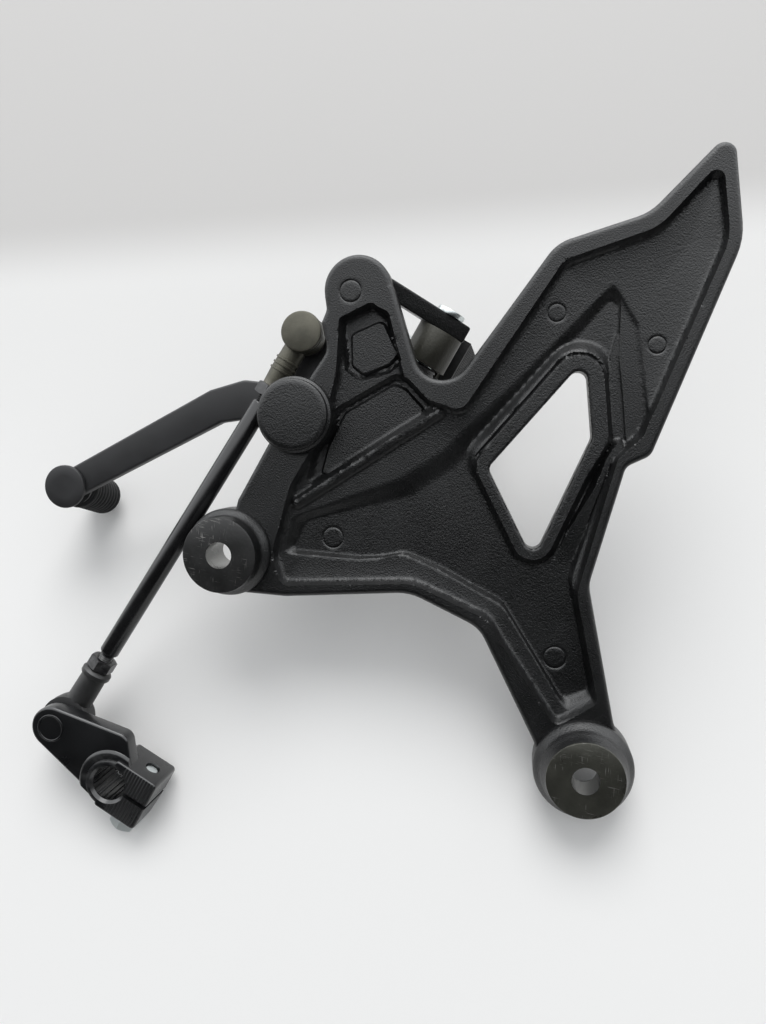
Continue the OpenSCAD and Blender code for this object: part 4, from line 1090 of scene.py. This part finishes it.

# %% [markdown]
# Paint and plating are never one flat colour. The effects that several finishes share are
# node groups: a sand-cast grain, wear along edges that on the casting is partly a painted highlight, fine scratches
# and a brushed grain.
# Each finish places them with its own values, and keeps its own shader.

# %% Shared surface effects
def place(tree, kind, inputs=None, **settings):
    """Adds a node, sets its settings, and sets or links its inputs."""
    node = tree.nodes.new(kind)
    for key, value in settings.items():
        setattr(node, key, value)
    for key, value in (inputs or {}).items():
        socket = node.inputs[key]
        if isinstance(value, bpy.types.NodeSocket):
            tree.links.new(value, socket)
        else:
            socket.default_value = value
    return node


def math_node(tree, operation, a, b=0.0, clamp=False):
    return place(tree, "ShaderNodeMath", {0: a, 1: b}, operation=operation, use_clamp=clamp).outputs[0]


def spread_node(tree, value, low, high, to_low=0.0, to_high=1.0):
    """Maps a range of a value to another range with soft ends."""
    return place(tree, "ShaderNodeMapRange", {
        "Value": value, "From Min": low, "From Max": high, "To Min": to_low, "To Max": to_high,
    }, interpolation_type="SMOOTHSTEP").outputs[0]


def noise(tree, vector, scale, detail=3.0, roughness=0.55):
    return place(tree, "ShaderNodeTexNoise", {
        "Vector": vector, "Scale": scale, "Detail": detail, "Roughness": roughness,
    }).outputs[0]


def new_group(name, inputs, outputs):
    """Node group with float inputs given as name and value, and float outputs."""
    group = bpy.data.node_groups.new(name, "ShaderNodeTree")
    for label, value in inputs:
        socket = group.interface.new_socket(label, in_out="INPUT", socket_type="NodeSocketFloat")
        socket.default_value = value
    for label in outputs:
        group.interface.new_socket(label, in_out="OUTPUT", socket_type="NodeSocketFloat")
    source = group.nodes.new("NodeGroupInput").outputs
    sink = group.nodes.new("NodeGroupOutput").inputs
    where = place(group, "ShaderNodeTexCoord").outputs["Object"]
    return group, source, sink, where


def grain_group():
    """Fine grain of a surface: a height, and a slow mottling."""
    group, source, sink, where = new_group("grain", (("Size", 0.001), ("Mottle Size", 0.02)), ("Height", "Mottle"))
    fine = math_node(group, "DIVIDE", 1.0, source["Size"])
    coarse = math_node(group, "DIVIDE", 1.0, source["Mottle Size"])
    height = noise(group, where, fine, 2.5, 0.6)
    group.links.new(height, sink["Height"])
    group.links.new(noise(group, where, coarse, 4.0, 0.6), sink["Mottle"])
    return group


def edge_wear_and_sheen_group():
    """Mask of convex edges, for rubbed paint and for painted edge highlights, broken up by noise."""
    group, source, sink, where = new_group("edge wear and painted sheen", (("Start", 0.53), ("Patch Size", 0.004)), ("Mask",))
    edges = place(group, "ShaderNodeNewGeometry").outputs["Pointiness"]
    end = math_node(group, "ADD", source["Start"], 0.05)
    edge = spread_node(group, edges, source["Start"], end)
    patch = noise(group, where, math_node(group, "DIVIDE", 1.0, source["Patch Size"]), 4.0, 0.65)
    group.links.new(math_node(group, "MULTIPLY", edge, spread_node(group, patch, 0.42, 0.62)), sink["Mask"])
    return group


def scratch_group():
    """Thin scratches in two directions, strongest in patches."""
    group, source, sink, where = new_group("scratches", (("Length", 0.006), ("Width", 0.00025)), ("Mask",))
    masks = []
    for turn, seed in ((0.5, 0.0), (1.9, 3.0)):
        turned = place(group, "ShaderNodeVectorRotate", {"Vector": where, "Angle": turn, "Axis": (0, 1, 0)})
        moved = place(group, "ShaderNodeVectorMath", {0: turned.outputs[0], 1: (seed, seed, seed)}, operation="ADD")
        parts = place(group, "ShaderNodeSeparateXYZ", {0: moved.outputs[0]}).outputs
        along_line = math_node(group, "DIVIDE", parts[0], source["Length"])
        across_line = math_node(group, "DIVIDE", parts[2], source["Width"])
        vector = place(group, "ShaderNodeCombineXYZ", {0: along_line, 1: across_line}).outputs[0]
        masks.append(spread_node(group, noise(group, vector, 1.0, 1.0), 0.66, 0.74))
    both = math_node(group, "MAXIMUM", masks[0], masks[1])
    patch = noise(group, where, 90.0, 2.0)
    group.links.new(math_node(group, "MULTIPLY", both, spread_node(group, patch, 0.45, 0.65)), sink["Mask"])
    return group


def brushed_group():
    """Height of a brushed or turned surface: long fine lines."""
    group, source, sink, where = new_group("brushed", (("Length", 0.02), ("Width", 0.00015)), ("Height",))
    turned = place(group, "ShaderNodeVectorRotate", {"Vector": where, "Angle": 0.35, "Axis": (0, 1, 0)})
    parts = place(group, "ShaderNodeSeparateXYZ", {0: turned.outputs[0]}).outputs
    vector = place(group, "ShaderNodeCombineXYZ", {
        0: math_node(group, "DIVIDE", parts[0], source["Width"]),
        1: math_node(group, "DIVIDE", parts[1], source["Width"]),
        2: math_node(group, "DIVIDE", parts[2], source["Length"]),
    }).outputs[0]
    group.links.new(noise(group, vector, 1.0, 2.0), sink["Height"])
    return group


GRAIN, EDGE_WEAR_AND_SHEEN, SCRATCHES, BRUSHED = grain_group(), edge_wear_and_sheen_group(), scratch_group(), brushed_group()
print("shared effects:", [g.name for g in (GRAIN, EDGE_WEAR_AND_SHEEN, SCRATCHES, BRUSHED)])

# %% [markdown]
# Every finish is one recipe with its own numbers: a colour that mottles, a roughness that
# drifts, a grain in the normal, rubbed edges that show lighter (on the casting partly a painted
# highlight), and scratches where two parts are bolted together.

# %% Finishes
def uses(tree, group, **values):
    node = place(tree, "ShaderNodeGroup", node_tree=group)
    for key, value in values.items():
        node.inputs[key.replace("_", " ")].default_value = value
    return node.outputs


def blend_color(tree, share, a, b):
    node = place(tree, "ShaderNodeMix", data_type="RGBA")
    for key, value in (("Factor", share), ("A", a), ("B", b)):
        socket = next(s for s in node.inputs if s.name == key and s.enabled)
        if isinstance(value, bpy.types.NodeSocket):
            tree.links.new(value, socket)
        else:
            socket.default_value = value
    return next(s for s in node.outputs if s.enabled)


def finish(name, color, roughness, metallic=0.0, grain=0.0008, depth=0.00004, mottle=0.15,
           wear=0.0, worn=(0.08, 0.08, 0.08), scratch=0.0, scratched=(0.45, 0.44, 0.42),
           brushed=0.0, coat=0.0, specular=0.5, ridges=0.0):
    """Material with a mottled colour, a grained normal and its own wear."""
    material = bpy.data.materials.new(name)
    material.use_nodes = True
    tree = material.node_tree
    tree.nodes.clear()
    surface = uses(tree, GRAIN, Size=grain, Mottle_Size=0.015)
    tone = spread_node(tree, surface["Mottle"], 0.3, 0.7)
    dark = (*[c * (1 - mottle) for c in color], 1)
    light = (*[c * (1 + mottle) for c in color], 1)
    base = blend_color(tree, tone, dark, light)
    # Lighter convex edges: rubbed coating, and with the casting's values also a painted edge highlight.
    if wear:
        mask = math_node(tree, "MULTIPLY", uses(tree, EDGE_WEAR_AND_SHEEN, Start=0.535)["Mask"], wear)
        base = blend_color(tree, mask, base, (*worn, 1))
    if scratch:
        mask = math_node(tree, "MULTIPLY", uses(tree, SCRATCHES)["Mask"], scratch)
        base = blend_color(tree, mask, base, (*scratched, 1))
    height = surface["Height"]
    if brushed:
        lines = math_node(tree, "MULTIPLY", uses(tree, BRUSHED)["Height"], brushed)
        height = math_node(tree, "ADD", height, lines)
    if ridges:
        where = place(tree, "ShaderNodeTexCoord").outputs["Object"]
        along_z = place(tree, "ShaderNodeSeparateXYZ", {0: where}).outputs[2]
        turns = math_node(tree, "MULTIPLY", along_z, 2 * math.pi / ridges)
        saw = math_node(tree, "MULTIPLY", math_node(tree, "SINE", turns), 3.0)
        height = math_node(tree, "ADD", height, saw)
    bump = place(tree, "ShaderNodeBump", {"Height": height, "Strength": 1.0, "Distance": depth})
    rough = spread_node(tree, surface["Mottle"], 0.25, 0.75, roughness * 0.85, min(1.0, roughness * 1.15))
    shader = place(tree, "ShaderNodeBsdfPrincipled", {
        "Base Color": base, "Roughness": rough, "Metallic": metallic, "Normal": bump.outputs[0],
        "Specular IOR Level": specular, "Coat Weight": coat, "Coat Roughness": 0.12,
    })
    output = place(tree, "ShaderNodeOutputMaterial")
    tree.links.new(shader.outputs[0], output.inputs["Surface"])
    return material


# The casting's lighter edges (wear and worn below) are partly a painted highlight on its crests, partly rubbed
# coating.
CAST = finish("black coated casting", (0.0042, 0.0044, 0.0046), 0.34, grain=0.0006, depth=0.0002,
    wear=0.12, worn=(0.03, 0.03, 0.03))
FACE = finish("worn mount face", (0.02, 0.02, 0.02), 0.42, 0.35, grain=0.0012, depth=0.00005,
    scratch=0.8, mottle=0.3)
OLIVE_FACE = finish("scraped mount face", (0.055, 0.055, 0.046), 0.3, 0.5, grain=0.0012,
    depth=0.00005, scratch=0.7, mottle=0.25, brushed=0.6)
BARE = finish("bare alloy bore", (0.3, 0.3, 0.29), 0.3, 1.0, grain=0.0006, depth=0.00002,
    brushed=0.5, mottle=0.08)
LEVER = finish("satin black lever", (0.012, 0.012, 0.013), 0.5, grain=0.0005, depth=0.00001, wear=0.25)
GLOSS = finish("gloss black arm", (0.006, 0.0063, 0.007), 0.3, grain=0.0012, depth=0.00002,
    wear=0.3, worn=(0.08, 0.08, 0.08), coat=0.3)
SAWN = finish("sawn black face", (0.006, 0.0063, 0.007), 0.3, grain=0.0005, depth=0.00005,
    coat=0.3, ridges=0.0013)
ROD = finish("gloss black rod", (0.007, 0.007, 0.0075), 0.24, grain=0.0008, depth=0.00001, wear=0.3)
OLIVE = finish("olive plating", (0.07, 0.067, 0.052), 0.42, 0.6, grain=0.0006, depth=0.00003,
    brushed=1.2, mottle=0.3, wear=0.5, worn=(0.2, 0.19, 0.16))
GREY = finish("dark grey plating", (0.035, 0.035, 0.035), 0.42, 0.4, grain=0.0006, depth=0.00003,
    mottle=0.25, wear=0.3)
ZINC = finish("bright zinc", (0.62, 0.66, 0.66), 0.3, 1.0, grain=0.0006, depth=0.00002, mottle=0.1)
DARK_NUT = finish("blackened nut", (0.02, 0.02, 0.021), 0.3, 0.3, grain=0.0006, depth=0.00002, wear=0.5)
ALLOY = finish("coated alloy peg", (0.03, 0.029, 0.022), 0.45, 0.3, grain=0.0009, depth=0.0001,
    mottle=0.12, wear=0.15, worn=(0.12, 0.115, 0.1))
RUBBER = finish("black rubber", (0.016, 0.016, 0.0165), 0.7, grain=0.0007, depth=0.00004,
    mottle=0.2, wear=0.3, worn=(0.045, 0.045, 0.045), specular=0.3)
BRONZE = finish("sintered bronze", (0.5, 0.33, 0.14), 0.45, 1.0, grain=0.0005, depth=0.00003)
SPRING = finish("phosphated wire", (0.1, 0.1, 0.1), 0.4, 0.8, grain=0.0005, depth=0.00002)
print("finishes:", len(bpy.data.materials))

# %% [markdown]
# Sharp edges stay sharp and curved faces shade smoothly. On the casting the coating is
# missing where the frame rubs: the two mount faces and the bores are bare or scratched.

# %% Shade and dress the pieces
def shade(piece, angle=32.0):
    mesh = piece.data
    mesh.shade_smooth()
    mesh.set_sharp_from_angle(angle=math.radians(angle))


def dress(piece, material, body, nodes):
    """Gives a made piece its finish and its place in the frame."""
    if material:
        piece.data.materials.clear()
        piece.data.materials.append(material)
    shade(piece)
    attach(piece, body)
    for node in nodes:
        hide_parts(node)


def dress_casting():
    mesh = casting.data
    mesh.materials.clear()
    for material in (CAST, FACE, OLIVE_FACE, BARE):
        mesh.materials.append(material)
    for polygon in mesh.polygons:
        x, y, z = polygon.center / MM
        polygon.material_index = 0
        for centre, face in ((mount_lower, 1), (mount_upper, 2)):
            rho = math.hypot(x - centre[0], z - centre[1])
            if rho < BORE_R + 2.2 and y > 0.05 and rho < SEAT_R - 0.1 and polygon.normal.y > -0.7:
                polygon.material_index = 3
            elif rho < UPPER_BOSS_R and y < 0.6:
                polygon.material_index = face


def dress_arm():
    arm.data.materials.clear()
    for material in (GLOSS, SAWN):
        arm.data.materials.append(material)
    for polygon in arm.data.polygons:
        x, y, z = polygon.center / MM
        flat_face = abs(y - CLAMP_IN) < 0.05 and z > SHAFT[1] + 3
        polygon.material_index = int(flat_face)


dress_casting()
dress_arm()
dress(casting, None, "hanger", ["hanger"])
dress(lever, LEVER, "lever", ["shift_lever"])
dress(toe_stub, LEVER, "lever", ["toe_stub"])
dress(toe_rubber, RUBBER, "lever", ["toe_rubber"])
dress(upper_housing, OLIVE, "rod", ["upper_housing"])
dress(lower_housing, GREY, "rod", ["lower_housing"])
dress(upper_boot, RUBBER, "rod", ["upper_boot"])
dress(lower_boot, RUBBER, "rod", ["lower_boot"])
dress(upper_lock, DARK_NUT, "rod", ["upper_lock_nut"])
dress(lower_lock, DARK_NUT, "rod", ["lower_lock_nut"])
dress(upper_nut, ZINC, "lever", ["upper_nut"])
dress(shift_rod, ROD, "rod", ["shift_rod"])
dress(arm, None, "arm", ["shift_arm"])
dress(pinch_bolt, ZINC, "arm", ["pinch_bolt"])
print("pieces dressed")

# %% [markdown]
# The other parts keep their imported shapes. They get small rounded edges and a finish,
# because most of them are hidden behind the casting or inside a joint.

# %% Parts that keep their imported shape
KEPT = {
    "peg_pin": (ZINC, 0.3), "peg_clip": (ZINC, 0.15), "peg_spring": (SPRING, 0.1),
    "peg_bar": (ALLOY, 1.0), "peg_tread": (RUBBER, 0.5), "peg_feeler": (ZINC, 0.2),
    "pivot_bolt": (ZINC, 0.4), "seal_inner": (RUBBER, 0.2), "seal_outer": (RUBBER, 0.2),
    "pivot_bush": (BRONZE, 0.15), "upper_stud": (ZINC, 0.2), "lower_stud": (ZINC, 0.2),
    "pinch_washer": (ZINC, 0.15),
}
for name, (material, edge) in KEPT.items():
    node = frame["nodes"][name]
    node.data.materials.clear()
    node.data.materials.append(material)
    weld = node.modifiers.new("weld", "WELD")
    weld.merge_threshold = 0.01 * MM
    rounding = node.modifiers.new("rounding", "BEVEL")
    rounding.width = edge * MM
    rounding.segments = 3
    rounding.limit_method = "ANGLE"
    rounding.angle_limit = math.radians(40)
    rounding.harden_normals = True
print("kept:", sorted(KEPT))

# %% [markdown]
# The part lies on a pale table, on its footpeg, its toe and its clamp, and is seen almost
# from above. The camera looks at the side of the mounts. The table only shows from the
# side that the part lies on, so that the other side can be looked at too.

# %% Camera and table
CAMERA_AT = Vector((-93.6, -285.7, 76.05)) * MM
CAMERA_RIGHT = Vector((-0.491, 0.162, 0.856)).normalized()
CAMERA_UP = Vector((-0.857, 0.0855, -0.508)).normalized()
CAMERA_BACK = CAMERA_RIGHT.cross(CAMERA_UP).normalized()
CAMERA_UP = CAMERA_BACK.cross(CAMERA_RIGHT).normalized()
camera_data = bpy.data.cameras.new("camera")
camera_data.lens = 27.07
camera_data.sensor_width = 36.0
camera_data.clip_start = 0.01
camera_data.clip_end = 50.0
camera = bpy.data.objects.new("camera", camera_data)
turned = Matrix((CAMERA_RIGHT, CAMERA_UP, CAMERA_BACK)).transposed().to_4x4()
turned.translation = CAMERA_AT
camera.matrix_world = turned
bpy.context.scene.collection.objects.link(camera)
bpy.context.scene.camera = camera

TABLE_UP = Vector((-0.4565, -0.864, -0.2124)).normalized()
TABLE_AT = Vector((125, 2, 17)) * MM - TABLE_UP * 0.0004
table_x = CAMERA_RIGHT - TABLE_UP * CAMERA_RIGHT.dot(TABLE_UP)
table_x.normalize()
table_y = TABLE_UP.cross(table_x)
half = 6.0
corners = [TABLE_AT + table_x * (half * a) + table_y * (half * b) for a, b in ((-1, -1), (1, -1), (1, 1), (-1, 1))]
table_mesh = bpy.data.meshes.new("table")
table_mesh.from_pydata([tuple(c) for c in corners], [], [(0, 1, 2, 3)])
table = bpy.data.objects.new("table", table_mesh)
bpy.context.scene.collection.objects.link(table)


def on_table(v):
    """Height along the table's Y of the point seen at a row of the picture, in metres."""
    ray = CAMERA_UP * ((512 - v) / 770) - CAMERA_BACK
    reach = (TABLE_AT - CAMERA_AT).dot(TABLE_UP) / ray.dot(TABLE_UP)
    return (CAMERA_AT + ray * reach).dot(table_y)


def table_material():
    """Pale board that darkens softly toward the top of the picture."""
    material = bpy.data.materials.new("pale board")
    material.use_nodes = True
    tree = material.node_tree
    tree.nodes.clear()
    where = place(tree, "ShaderNodeTexCoord").outputs["Object"]
    up = place(tree, "ShaderNodeVectorMath", {0: where, 1: tuple(table_y)}, operation="DOT_PRODUCT").outputs["Value"]
    far = spread_node(tree, up, on_table(270), on_table(195))
    slow = spread_node(tree, up, on_table(620), on_table(260))
    near = blend_color(tree, slow, (0.865, 0.86, 0.85, 1), (0.785, 0.78, 0.77, 1))
    board = blend_color(tree, far, near, (0.58, 0.57, 0.56, 1))
    mottled = noise(tree, where, 30.0, 4.0)
    bump = place(tree, "ShaderNodeBump", {"Height": mottled, "Strength": 0.1, "Distance": 0.0002})
    shader = place(tree, "ShaderNodeBsdfPrincipled", {
        "Base Color": board, "Roughness": 0.7, "Specular IOR Level": 0.2, "Normal": bump.outputs[0],
    })
    clear = place(tree, "ShaderNodeBsdfTransparent")
    back = place(tree, "ShaderNodeNewGeometry").outputs["Backfacing"]
    mix = place(tree, "ShaderNodeMixShader", {0: back, 1: shader.outputs[0], 2: clear.outputs[0]})
    output = place(tree, "ShaderNodeOutputMaterial")
    tree.links.new(mix.outputs[0], output.inputs["Surface"])
    return material


table.data.materials.append(table_material())
print("table normal faces up:", table.data.polygons[0].normal.dot(TABLE_UP) > 0)

# %% [markdown]
# A black coating shows its shape by what it mirrors. So there is one wide soft light beyond
# the top of the picture, and a room that fills the shadows evenly. Only mirrored rays see
# the room bright at the top and dark behind the camera, which a second lamp would spoil.

# %% Light
def soft_light(name, toward, distance, size, power):
    data = bpy.data.lights.new(name, "AREA")
    data.shape = "DISK"
    data.size = size
    data.energy = power
    light = bpy.data.objects.new(name, data)
    direction = toward.normalized()
    middle = Vector((-60, 15, 40)) * MM
    light.location = middle + direction * distance
    light.rotation_euler = direction.to_track_quat("Z", "Y").to_euler()
    bpy.context.scene.collection.objects.link(light)


soft_light("key", TABLE_UP * 0.62 + CAMERA_UP * 0.85 + CAMERA_RIGHT * 0.02, 3.0, 2.3, 52.0)


def room():
    """World that is bright beyond the top of the picture and dim behind the camera."""
    made = bpy.data.worlds.new("room")
    made.use_nodes = True
    tree = made.node_tree
    where = place(tree, "ShaderNodeTexCoord").outputs["Generated"]
    up = place(tree, "ShaderNodeVectorMath", {0: where, 1: tuple(CAMERA_UP)}, operation="DOT_PRODUCT").outputs["Value"]
    mirrored = spread_node(tree, up, -0.1, 0.3, ROOM_DIM, ROOM_BRIGHT)
    glossy = place(tree, "ShaderNodeLightPath").outputs["Is Glossy Ray"]
    strength = place(tree, "ShaderNodeMix", {0: glossy, 2: ROOM_FILL, 3: mirrored}).outputs[0]
    back = tree.nodes["Background"]
    back.inputs["Color"].default_value = (0.96, 0.98, 1.0, 1)
    tree.links.new(strength, back.inputs["Strength"])
    return made


ROOM_DIM = 0.0
ROOM_BRIGHT = 2.6
ROOM_FILL = 0.66
world = room()
bpy.context.scene.world = world
bpy.context.scene.view_settings.view_transform = "Standard"
print("lights placed")

# %% [markdown]


print("scene built")
